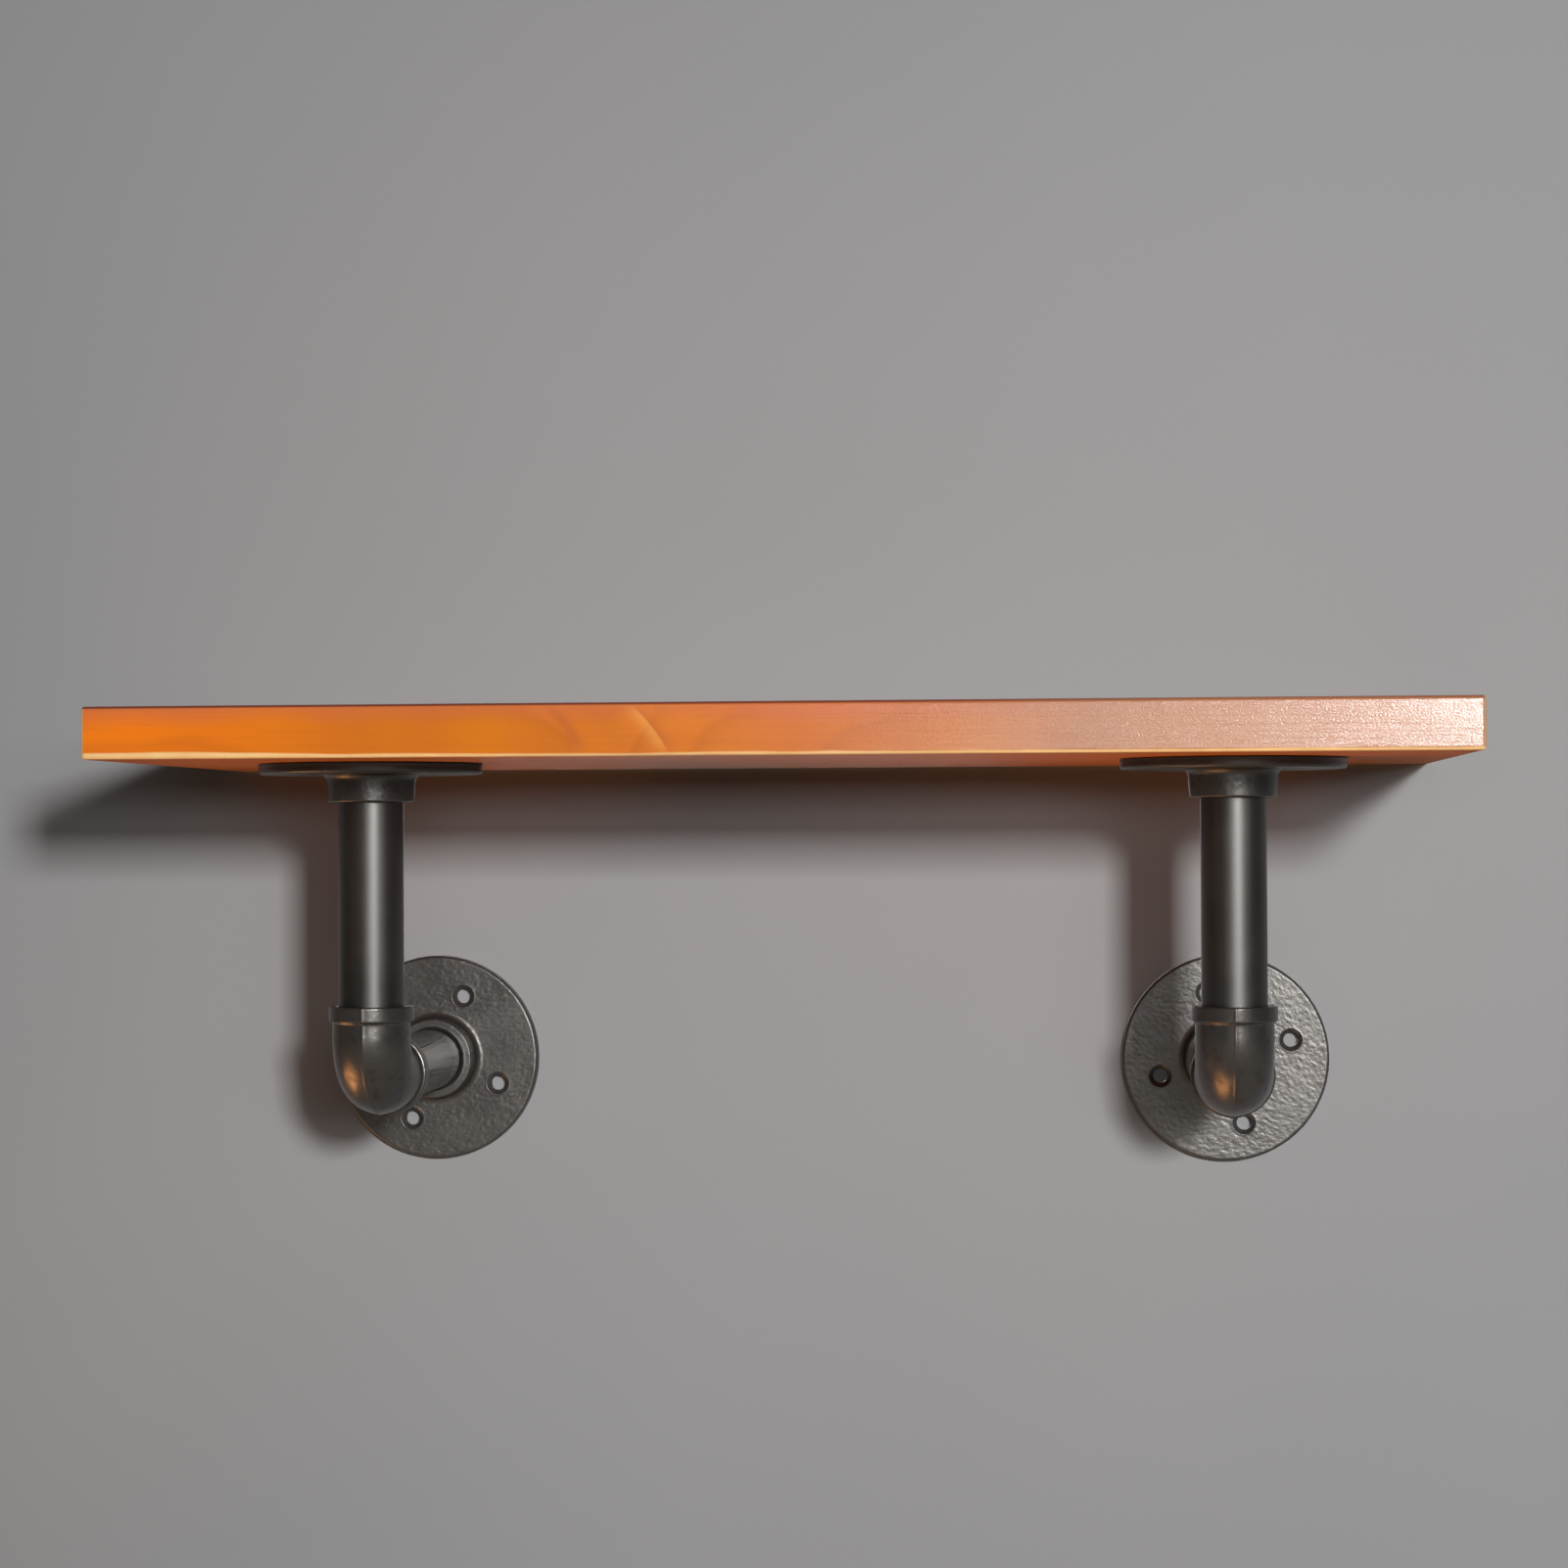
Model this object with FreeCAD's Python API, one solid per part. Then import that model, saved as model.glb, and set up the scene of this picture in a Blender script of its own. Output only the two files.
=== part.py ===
import FreeCAD, Part
import math
import os

# A wall shelf: one solid wood board carried by two brackets of black iron pipe.
# Each bracket is a floor flange screwed up under the board, a riser pipe, an elbow, a wall pipe
# and a second floor flange for the wall. The pipework screws together on taper pipe threads.
#
# Millimetres. +X runs right along the wall, +Y points into the wall and +Z is up.
# The origin is on the wall plane, midway between the centres of the two wall flanges.

# ---- board ----
board_length = 520.0
board_depth = 220.0
board_thickness = 20.0
board_edge_round = 1.8

# ---- brackets: how far each one's pipes stand in from the board's end ----
bracket_inset = 88.0

# ---- pipe, three-quarter inch size ----
pipe_outer_d = 26.0
pipe_wall = 2.6
pipe_length = 101.6
pipe_bore_bevel = 0.6

# ---- taper pipe thread, 14 turns to the inch ----
thread_pitch = 25.4 / 14
thread_depth = 0.9
thread_taper = 1.0 / 32
thread_crest_relief = 0.05
thread_crest_width = 0.30
thread_root_width = 0.47
thread_clearance = 0.10
thread_made_up = 10.05

# ---- floor flange ----
flange_outer_d = 89.0
flange_disc_thickness = 4.5
flange_rim_round = 1.5
flange_height = 15.5
flange_hub_d = 34.6
flange_hub_draft = 0.5
flange_hub_fillet = 2.6
flange_hub_edge_round = 0.8
flange_hole_count = 4
flange_hole_circle_d = 58.0
flange_hole_d = 6.2
flange_countersink_d = 9.8

# Direction of the first screw hole: degrees anticlockwise from +X, seen from the hub side.
wall_flange_turn = {"left": 67.0, "right": 15.5}
board_flange_turn = {"left": 45.0, "right": 45.0}

# ---- elbow ----
elbow_reach = 29.0
elbow_bend_radius = 17.0
elbow_body_d = 31.2
elbow_passage_d = 22.6
elbow_band_d = 34.0
elbow_band_width = 6.3
elbow_band_edge_round = 0.7
elbow_thread_run_out = 1.4
elbow_seam_width = 1.6
elbow_seam_height = 0.25

# ---- bevelled mouth of every threaded socket ----
mouth_bevel = 0.8

# ---- countersunk wood screws that hold the board ----
screw_length = 18.0
screw_major_d = 5.0
screw_core_d = 3.5
screw_pitch = 2.2
screw_crest_width = 0.25
screw_root_width = 1.1
screw_point_length = 4.0
screw_head_d = 9.0
screw_head_edge = 0.3
screw_recess_length = 5.0
screw_recess_floor_length = 1.8
screw_recess_width = 1.1
screw_recess_depth = 2.2
screw_hole_clearance = 0.05

# ---- sizes that follow from the ones above ----
bracket_spacing = board_length - 2 * bracket_inset
pipe_r = pipe_outer_d / 2
pipe_bore_r = pipe_r - pipe_wall
pipe_clear_length = pipe_length - 2 * thread_made_up
leg = flange_height + pipe_clear_length + elbow_reach
countersink_depth = (flange_countersink_d - flange_hole_d) / 2
screw_head_sunk = (flange_countersink_d - screw_head_d) / 2 - screw_head_edge
cut_overrun = 1.0

ORIGIN = FreeCAD.Vector(0, 0, 0)
X_AXIS = FreeCAD.Vector(1, 0, 0)
Y_AXIS = FreeCAD.Vector(0, 1, 0)
Z_AXIS = FreeCAD.Vector(0, 0, 1)
SIDES = {"left": -1, "right": 1}


def placed(x, y, z, turn_axis=Z_AXIS, turn_deg=0.0):
    """A placement at (x, y, z), turned about one axis."""
    return FreeCAD.Placement(FreeCAD.Vector(x, y, z), FreeCAD.Rotation(turn_axis, turn_deg))


def carried(shape, placement):
    """A copy of a shape, carried to a placement."""
    copy = shape.copy()
    copy.Placement = placement.multiply(copy.Placement)
    return copy


def rounded_outline(corners):
    """Closed outline in the XZ plane through (x, z, rounding radius) corners."""
    points = [FreeCAD.Vector(x, 0, z) for x, z, radius in corners]
    edges = []
    tangents = []
    for i, corner in enumerate(points):
        radius = corners[i][2]
        if radius == 0:
            tangents.append((corner, corner))
            continue
        to_previous = (points[i - 1] - corner).normalize()
        to_next = (points[(i + 1) % len(points)] - corner).normalize()
        half_angle = to_previous.getAngle(to_next) / 2
        arrive = corner + to_previous * (radius / math.tan(half_angle))
        leave = corner + to_next * (radius / math.tan(half_angle))
        middle = corner + (to_previous + to_next).normalize() * (radius / math.sin(half_angle) - radius)
        edges.append(Part.Arc(arrive, middle, leave).toShape())
        tangents.append((arrive, leave))
    for i in range(len(points)):
        start = tangents[i][1]
        end = tangents[(i + 1) % len(points)][0]
        edges.append(Part.LineSegment(start, end).toShape())
    return Part.Wire(Part.__sortEdges__(edges))


def turned(corners):
    """Solid of revolution about Z, from (radius, z, rounding radius) corners."""
    return Part.Face(rounded_outline(corners)).revolve(ORIGIN, Z_AXIS, 360)


def screw_ridge(pitch, slope, root_r, crest_r, root_half, crest_half, low, high):
    """Helical ridge of trapezoid section about Z that covers z = low to z = high.

    root_r and crest_r are its radii at z = 0, where the middle of a turn crosses the +X side.
    slope is the radius gained per unit of height.
    """
    start = (math.floor(low / pitch) - 1) * pitch
    end = (math.ceil(high / pitch) + 1) * pitch
    sunk = (crest_r - root_r) / 8
    sunk_half = root_half + sunk * (root_half - crest_half) / (crest_r - root_r)
    section = [
        (root_r - sunk, -sunk_half),
        (crest_r, -crest_half),
        (crest_r, crest_half),
        (root_r - sunk, sunk_half),
    ]
    points = [FreeCAD.Vector(r + start * slope, 0, z + start) for r, z in section]
    outline = Part.makePolygon(points + points[:1])
    spine = Part.makeHelix(pitch, end - start, root_r + start * slope, math.degrees(math.atan(slope)))
    spine.translate(FreeCAD.Vector(0, 0, start))
    return Part.Wire(spine.Edges).makePipeShell([outline], True, True)


def pipe_thread(low, high, clearance=0.0):
    """Threaded plug from z = low to z = high. The fitting's mouth is z = 0 and +Z leads out of it.

    With no clearance it is the thread on the pipe. With clearance it is what a socket is cut with.
    """
    crest_r = pipe_r - thread_crest_relief + clearance
    root_r = crest_r - thread_depth
    crest_half = thread_crest_width / 2 + clearance
    root_half = (thread_pitch - thread_root_width) / 2 + clearance
    slab = Part.makeCylinder(2 * pipe_r, high - low, FreeCAD.Vector(0, 0, low))
    ridge = screw_ridge(thread_pitch, thread_taper, root_r, crest_r, root_half, crest_half, low, high)
    core = Part.makeCone(root_r + low * thread_taper, root_r + high * thread_taper, high - low)
    core.translate(FreeCAD.Vector(0, 0, low))
    return core.fuse(ridge.common(slab))


def socket_cutter(depth):
    """What a threaded socket is cut with: the thread, then the bevel at its mouth."""
    mouth_r = pipe_r + thread_clearance
    bevel = turned([
        (0, -mouth_bevel, 0),
        (mouth_r, -mouth_bevel, 0),
        (mouth_r + mouth_bevel + cut_overrun, cut_overrun, 0),
        (0, cut_overrun, 0),
    ])
    return pipe_thread(-depth, 0.0, thread_clearance).fuse(bevel)


def threaded_pipe():
    """Pipe with a taper thread on each end, standing from z = 0 to z = pipe_length."""
    shoulder_z = thread_made_up - mouth_bevel / 2
    body = Part.makeCylinder(pipe_r, pipe_length - 2 * shoulder_z, FreeCAD.Vector(0, 0, shoulder_z))
    thread = pipe_thread(-thread_made_up, 0.0)
    lower_mouth = placed(0, 0, thread_made_up)
    upper_mouth = placed(0, 0, pipe_length - thread_made_up, X_AXIS, 180)
    for mouth in (lower_mouth, upper_mouth):
        body = body.fuse(carried(thread, mouth))
    bevelled_r = pipe_bore_r + pipe_bore_bevel
    bore = turned([
        (0, -cut_overrun, 0),
        (bevelled_r, -cut_overrun, 0),
        (bevelled_r, 0, 0),
        (pipe_bore_r, pipe_bore_bevel, 0),
        (pipe_bore_r, pipe_length - pipe_bore_bevel, 0),
        (bevelled_r, pipe_length, 0),
        (bevelled_r, pipe_length + cut_overrun, 0),
        (0, pipe_length + cut_overrun, 0),
    ])
    return body.cut(bore)


def hole_places(first_hole_deg):
    """Placements of a flange's screw holes, on its mounting face."""
    places = []
    for i in range(flange_hole_count):
        angle = math.radians(first_hole_deg + i * 360 / flange_hole_count)
        reach = flange_hole_circle_d / 2
        places.append(placed(reach * math.cos(angle), reach * math.sin(angle), 0))
    return places


def floor_flange(first_hole_deg):
    """Threaded floor flange: mounting face at z = 0, hub up, countersinks on the hub side."""
    disc_r = flange_outer_d / 2
    hub_r = flange_hub_d / 2
    hole_r = flange_hole_d / 2
    flange = turned([
        (0, 0, 0),
        (disc_r, 0, 0),
        (disc_r, flange_disc_thickness, flange_rim_round),
        (hub_r + flange_hub_draft, flange_disc_thickness, flange_hub_fillet),
        (hub_r, flange_height, flange_hub_edge_round),
        (0, flange_height, 0),
    ])
    hole = turned([
        (0, -cut_overrun, 0),
        (hole_r, -cut_overrun, 0),
        (hole_r, flange_disc_thickness - countersink_depth, 0),
        (hole_r + countersink_depth + cut_overrun, flange_disc_thickness + cut_overrun, 0),
        (0, flange_disc_thickness + cut_overrun, 0),
    ])
    for place in hole_places(first_hole_deg):
        flange = flange.cut(carried(hole, place))
    cutter = socket_cutter(flange_height + cut_overrun)
    return flange.cut(carried(cutter, placed(0, 0, flange_height)))


def bent_bar(radius):
    """Round bar along the elbow's centre line, from its upper mouth to its rear mouth."""
    straight = elbow_reach - elbow_bend_radius
    upper_start = FreeCAD.Vector(0, 0, elbow_bend_radius)
    rear_start = FreeCAD.Vector(0, elbow_bend_radius, 0)
    upper = Part.makeCylinder(radius, straight, upper_start, Z_AXIS)
    rear = Part.makeCylinder(radius, straight, rear_start, Y_AXIS)
    section = Part.Face(Part.Wire(Part.makeCircle(radius, upper_start, Z_AXIS)))
    bend = section.revolve(upper_start + rear_start, X_AXIS, 90)
    return upper.fuse(bend).fuse(rear)


def elbow_mouths():
    """The elbow's mouths: one facing up, one facing the wall."""
    return placed(0, 0, elbow_reach), placed(0, elbow_reach, 0, X_AXIS, -90)


def elbow_outside(grown=0.0):
    """Outer form of the banded elbow, grown outwards a little for its casting seam."""
    outside = bent_bar(elbow_body_d / 2 + grown)
    band_r = elbow_band_d / 2 + grown
    band = turned([
        (0, -elbow_band_width, 0),
        (band_r, -elbow_band_width, elbow_band_edge_round),
        (band_r, 0, elbow_band_edge_round),
        (0, 0, 0),
    ])
    for mouth in elbow_mouths():
        outside = outside.fuse(carried(band, mouth))
    return outside


def banded_elbow():
    """Threaded elbow: its centre lines meet at the origin, and its mouths face +Z and +Y."""
    plate_side = 4 * elbow_reach
    plate_corner = FreeCAD.Vector(-elbow_seam_width / 2, -plate_side / 2, -plate_side / 2)
    plate = Part.makeBox(elbow_seam_width, plate_side, plate_side, plate_corner)
    seam = elbow_outside(elbow_seam_height).common(plate)
    elbow = elbow_outside().fuse(seam).cut(bent_bar(elbow_passage_d / 2))
    cutter = socket_cutter(thread_made_up + elbow_thread_run_out)
    for mouth in elbow_mouths():
        elbow = elbow.cut(carried(cutter, mouth))
    return elbow


def screw_shank(clearance=0.0):
    """Threaded shank of the wood screw, driven along +Z from its head's face at z = 0.

    With clearance it is the hole that the screw has cut in the wood.
    """
    core_r = screw_core_d / 2 + clearance
    major_r = screw_major_d / 2 + clearance
    tip = screw_length + clearance
    thread_start = (screw_head_d - screw_core_d) / 2
    root_half = screw_root_width / 2 + clearance
    crest_half = screw_crest_width / 2 + clearance
    ridge = screw_ridge(screw_pitch, 0.0, core_r, major_r, root_half, crest_half, thread_start, tip)
    pointed_room = turned([
        (0, 0, 0),
        (2 * major_r, 0, 0),
        (2 * major_r, tip - 2 * screw_point_length, 0),
        (0, tip, 0),
    ])
    core = Part.makeCylinder(core_r, tip).common(pointed_room)
    return core.fuse(ridge.common(pointed_room))


def wood_screw():
    """Countersunk screw with a cross recess, driven along +Z from its head's face at z = 0."""
    head_r = screw_head_d / 2
    core_r = screw_core_d / 2
    head_end = screw_head_edge + head_r - core_r
    head = turned([
        (0, 0, 0),
        (head_r, 0, 0),
        (head_r, screw_head_edge, 0),
        (core_r, head_end, 0),
        (0, head_end, 0),
    ])
    recess_half = screw_recess_length / 2
    floor_half = screw_recess_floor_length / 2
    wing_outline = rounded_outline([
        (-recess_half - cut_overrun, -cut_overrun, 0),
        (recess_half + cut_overrun, -cut_overrun, 0),
        (recess_half, 0, 0),
        (floor_half, screw_recess_depth, 0),
        (-floor_half, screw_recess_depth, 0),
        (-recess_half, 0, 0),
    ])
    wing = Part.Face(wing_outline).extrude(Y_AXIS * screw_recess_width)
    wing.translate(Y_AXIS * (-screw_recess_width / 2))
    screw = head.fuse(screw_shank())
    for turn in (0, 90):
        screw = screw.cut(carried(wing, placed(0, 0, 0, Z_AXIS, turn)))
    return screw


def board_blank():
    """Shelf board with its edges eased and no screw holes yet."""
    corner = FreeCAD.Vector(-board_length / 2, -board_depth, leg)
    board = Part.makeBox(board_length, board_depth, board_thickness, corner)
    return board.makeFillet(board_edge_round, board.Edges)


def build():
    """Every piece of the shelf, by node name."""
    pipe = threaded_pipe()
    elbow = banded_elbow()
    screw = wood_screw()
    screw_hole = screw_shank(screw_hole_clearance)
    board = board_blank()
    pieces = {}
    for side, sign in SIDES.items():
        x = sign * bracket_spacing / 2
        wall_flange_place = placed(x, 0, 0, X_AXIS, 90)
        wall_pipe_place = placed(x, thread_made_up - flange_height, 0, X_AXIS, 90)
        elbow_place = placed(x, -leg, 0)
        riser_place = placed(x, -leg, elbow_reach - thread_made_up)
        board_flange_place = placed(x, -leg, leg, X_AXIS, 180)
        pieces[f"{side}_wall_flange"] = carried(floor_flange(wall_flange_turn[side]), wall_flange_place)
        pieces[f"{side}_wall_pipe"] = carried(pipe, wall_pipe_place)
        pieces[f"{side}_elbow"] = carried(elbow, elbow_place)
        pieces[f"{side}_riser_pipe"] = carried(pipe, riser_place)
        pieces[f"{side}_board_flange"] = carried(floor_flange(board_flange_turn[side]), board_flange_place)
        head_place = placed(0, 0, flange_disc_thickness - screw_head_sunk, X_AXIS, 180)
        for number, hole_place in enumerate(hole_places(board_flange_turn[side]), start=1):
            screw_place = board_flange_place.multiply(hole_place).multiply(head_place)
            pieces[f"{side}_board_screw_{number}"] = carried(screw, screw_place)
            board = board.cut(carried(screw_hole, screw_place))
    pieces["shelf_board"] = board
    return pieces


os.makedirs("parts", exist_ok=True)
for name, piece in build().items():
    print(f"{name}: {piece.Volume / 1000:.2f} cm3, valid {piece.isValid()}, solids {len(piece.Solids)}")
    piece.exportStep(f"parts/{name}.step")
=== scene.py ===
# %% [markdown]
# # A wall shelf on black pipe brackets
# One stained and varnished board rests on two brackets. Each bracket is plumber's hardware: a round
# floor flange on the wall, a pipe, an elbow, a second pipe and a second flange under the board.
# The construction comes from the frame, which holds every piece at its real size and place. This
# lesson keeps the pipes and screws of the frame, and makes finer skins for the board and for the
# castings, whose rough surface is part of their shape.

# %% Load the frame
import math

import bmesh
import bpy
import numpy as np
from mathutils import Matrix, Vector


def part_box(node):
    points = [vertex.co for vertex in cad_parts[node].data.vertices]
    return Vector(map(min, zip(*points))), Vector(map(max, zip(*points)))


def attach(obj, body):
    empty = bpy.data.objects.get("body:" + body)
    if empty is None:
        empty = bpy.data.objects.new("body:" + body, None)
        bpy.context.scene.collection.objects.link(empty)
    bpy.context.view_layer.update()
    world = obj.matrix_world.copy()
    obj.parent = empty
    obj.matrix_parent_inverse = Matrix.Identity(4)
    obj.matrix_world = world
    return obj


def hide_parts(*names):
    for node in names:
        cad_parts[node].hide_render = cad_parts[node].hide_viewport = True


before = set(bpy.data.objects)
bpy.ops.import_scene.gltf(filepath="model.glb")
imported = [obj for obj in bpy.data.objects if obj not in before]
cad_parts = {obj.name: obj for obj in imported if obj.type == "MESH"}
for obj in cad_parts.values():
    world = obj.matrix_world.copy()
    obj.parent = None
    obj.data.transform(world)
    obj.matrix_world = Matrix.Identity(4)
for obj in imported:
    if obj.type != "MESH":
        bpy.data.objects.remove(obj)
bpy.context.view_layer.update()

MM = 0.001

# %% [markdown]
# ## Random texture that is the same every time
# Sand castings and hand-sanded edges are irregular. A texture image could carry that, but it would
# need a place on disk and a layout. Value noise needs neither: space is cut into cubes, each cube
# corner gets a random number from a seeded table, and a point blends the eight corners around it.

# %% Value noise on whole arrays
NOISE_TABLE_SIZE = 8192
LATTICE_PRIMES = (73856093, 19349663, 83492791)


def value_noise(points, cell, seed):
    """Noise from -1 to 1 in a space cut into cubes, a blend of the eight corners round each point.

    Along each axis the far corner's share is three times the square of the fraction of the cube
    that the point has crossed, minus twice its third power.
    """
    table = np.random.default_rng(seed).uniform(-1.0, 1.0, NOISE_TABLE_SIZE)
    place = points / cell
    cube = np.floor(place).astype(np.int64)
    fraction = place - cube
    blend = fraction * fraction * (3.0 - 2.0 * fraction)
    total = np.zeros(len(points))
    for offset in np.ndindex(2, 2, 2):
        corner = (cube + offset) * LATTICE_PRIMES
        entry = (corner[:, 0] ^ corner[:, 1] ^ corner[:, 2]) % NOISE_TABLE_SIZE
        share = np.where(np.array(offset) == 1, blend, 1.0 - blend)
        total += table[entry] * share.prod(axis=1)
    return total


def sunk_by(points, layers, seed):
    """Depth below the true surface: every layer adds its depth times half of one plus its noise."""
    return sum(depth * (0.5 + 0.5 * value_noise(points, cell, seed + number))
               for number, (cell, depth) in enumerate(layers))


print("noise of four points:", value_noise(np.eye(4, 3) * 0.37, 0.25, 1).round(3))

# %% [markdown]
# ## From grids to a closed mesh
# Every new piece is made of surfaces, and every surface is a grid: a table of points with rows and
# columns. Neighbouring surfaces share the points along their common border, so welding points that
# lie on each other closes the piece. A closed piece has no open edge, and the cell below counts them.

# %% Surfaces and welding
WELD_DISTANCE = 0.002 * MM


def surface(points, close_rows=False, close_columns=False):
    """Points and quads of a grid. A quad joins two neighbouring rows and two neighbouring columns."""
    rows, columns = points.shape[:2]
    row = np.arange(rows if close_rows else rows - 1)[:, None]
    column = np.arange(columns if close_columns else columns - 1)[None, :]
    next_row = (row + 1) % rows
    next_column = (column + 1) % columns
    corners = (
        row * columns + column,
        row * columns + next_column,
        next_row * columns + next_column,
        next_row * columns + column,
    )
    return points.reshape(-1, 3), np.stack(corners, axis=-1).reshape(-1, 4)


def welded_mesh(name, surfaces):
    """One closed mesh from several surfaces, with its faces outwards."""
    starts = np.cumsum([0] + [len(points) for points, quads in surfaces[:-1]])
    points = np.concatenate([points for points, quads in surfaces])
    quads = np.concatenate([quads + start for start, (_, quads) in zip(starts, surfaces)])
    mesh = bpy.data.meshes.new(name)
    mesh.from_pydata(points.tolist(), [], quads.tolist())
    bpy.context.view_layer.update()
    work = bmesh.new()
    work.from_mesh(mesh)
    bmesh.ops.remove_doubles(work, verts=work.verts, dist=WELD_DISTANCE)
    bmesh.ops.recalc_face_normals(work, faces=work.faces)
    open_edges = sum(1 for edge in work.edges if not edge.is_manifold)
    work.to_mesh(mesh)
    work.free()
    mesh.shade_smooth()
    print(f"{name}: {len(mesh.vertices)} points, {len(mesh.polygons)} faces, {open_edges} open edges")
    return mesh


# %% Relief, stored numbers and places
def rows_of(items, field):
    """Three numbers of every point or face of a mesh, as an array with one row for each."""
    values = np.empty(len(items) * 3)
    items.foreach_get(field, values)
    return values.reshape(-1, 3)


def sink(mesh, depth):
    """Moves every point inwards along its normal by its own depth."""
    moved = rows_of(mesh.vertices, "co") - rows_of(mesh.vertex_normals, "vector") * depth[:, None]
    mesh.vertices.foreach_set("co", moved.ravel())
    mesh.update()


def store(mesh, name, values):
    """Keeps one number per point for a material to read."""
    mesh.attributes.new(name, "FLOAT", "POINT").data.foreach_set("value", values.astype(np.float32))


def piece_for(node, mesh, place):
    """Puts a finished mesh where its node is, as the piece that stands for the node."""
    mesh.transform(place)
    piece = bpy.data.objects.new(f"{node}_skin", mesh)
    bpy.context.scene.collection.objects.link(piece)
    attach(piece, "root")
    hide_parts(node)
    return piece


def smoothstep(low, high, value):
    """0 below low and 1 above high. Between them the ends are eased.

    It is three times the square of the fraction crossed, minus twice its third power.
    """
    t = np.clip((value - low) / (high - low), 0.0, 1.0)
    return t * t * (3.0 - 2.0 * t)


skins = {}
SKINNED = ("board", "flange", "elbow")
print("pieces that get a skin:", [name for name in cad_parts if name.endswith(SKINNED)])

# %% Lines and arcs of a profile
def line(start, end, steps):
    """Evenly spaced points from start to end, both included."""
    t = np.linspace(0.0, 1.0, steps + 1)[:, None]
    return np.array(start) * (1.0 - t) + np.array(end) * t


def arc(centre, radius, start_deg, end_deg, steps):
    """Points of a circular arc: the centre plus the radius times the angle's cosine and sine."""
    angle = np.radians(np.linspace(start_deg, end_deg, steps + 1))
    return np.stack([centre[0] + radius * np.cos(angle), centre[1] + radius * np.sin(angle)], axis=1)


def path(*parts):
    """One profile from several, dropping each part's first point where it repeats the last one."""
    kept = [parts[0]]
    for part in parts[1:]:
        repeats = np.allclose(part[0], kept[-1][-1], atol=WELD_DISTANCE)
        kept.append(part[1:] if repeats else part)
    return np.concatenate(kept)


print("half circle of radius 1:", arc((0.0, 0.0), 1.0, 0, 180, steps=2).round(3).tolist())

# %% [markdown]
# ## The taper thread
# Pipe fittings seal on a taper thread: a ridge of trapezoid section that winds round a slightly
# conical bore. The back of a wall flange shows it, so the bores carry the real helix. It could be a
# swept ridge joined to a cone, but a bore is simpler as one surface whose radius rises and falls.
# Apart from the taper, the radius only depends on how far a place is from the nearest turn.

# %% Radius of a threaded bore
INCH = 25.4 * MM
THREADS_PER_INCH = 14
THREAD_PITCH = INCH / THREADS_PER_INCH
THREAD_DEPTH = 0.9 * MM
THREAD_TAPER = 1.0 / 32
GROOVE_R = 13.05 * MM
GROOVE_BOTTOM_HALF = 0.25 * MM
GROOVE_TOP_HALF = 0.772 * MM
THREAD_ROWS_PER_TURN = 8


def thread_radius(angle, height):
    """Bore radius where height is measured from the mouth, negative inwards.

    The groove's middle is where height divided by the pitch, less the angle divided by a full turn,
    is a whole number. Away from it the radius falls from the groove's radius by up to the depth. The
    taper adds its share of the height.
    """
    turns = height / THREAD_PITCH - angle / (2.0 * math.pi)
    away = np.abs(turns - np.round(turns)) * THREAD_PITCH
    rise = np.clip((GROOVE_TOP_HALF - away) / (GROOVE_TOP_HALF - GROOVE_BOTTOM_HALF), 0.0, 1.0)
    return GROOVE_R - THREAD_DEPTH * (1.0 - rise) + height * THREAD_TAPER


def thread_rows(length):
    """Rows that a grid needs for a length of thread."""
    return math.ceil(length / THREAD_PITCH * THREAD_ROWS_PER_TURN)


print("bore radius at the mouth, mm:", round(float(thread_radius(0.0, 0.0)) / MM, 2))

# %% [markdown]
# ## Floor flange
# A floor flange is a sand-cast disc with a threaded hub and four countersunk screw holes. The disc
# could be cut with booleans, but then its pebbly skin would sit on long thin triangles. Instead the
# disc is four equal sectors with one screw hole in the middle of each. From the hole's centre every
# border point of its sector is in plain sight, so rays from the hole's rim to the border make an
# even grid. Turned grids make the rim, the hub and the bore, and they share the sectors' borders.

# %% Sizes of the floor flange
FLANGE_R = 44.5 * MM
DISC_THICKNESS = 4.5 * MM
RIM_ROUND = 1.5 * MM
BACK_ROUND = 0.3 * MM
FLANGE_HEIGHT = 15.5 * MM
HUB_R = 17.3 * MM
HUB_DRAFT = 0.5 * MM
HUB_FILLET = 2.6 * MM
HUB_ROUND = 0.8 * MM
MOUTH_R = 13.1 * MM
MOUTH_BEVEL = 0.8 * MM
HOLE_CIRCLE_R = 29.0 * MM
HOLE_R = 3.1 * MM
COUNTERSINK_R = 4.9 * MM
COUNTERSINK_LIP = 0.1 * MM
HOLE_ROUND = 0.25 * MM
BACK_BORE_R = 12.5 * MM
SECTORS = 4
HALF_SECTOR = math.pi / SECTORS

OUTER_STEPS = 116
INNER_STEPS = 56
SIDE_STEPS = 42
TOP_RAY_STEPS = 36
BACK_RAY_STEPS = 6
print("flange, mm across and high:", round(2 * FLANGE_R / MM, 1), round(FLANGE_HEIGHT / MM, 1))

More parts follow.
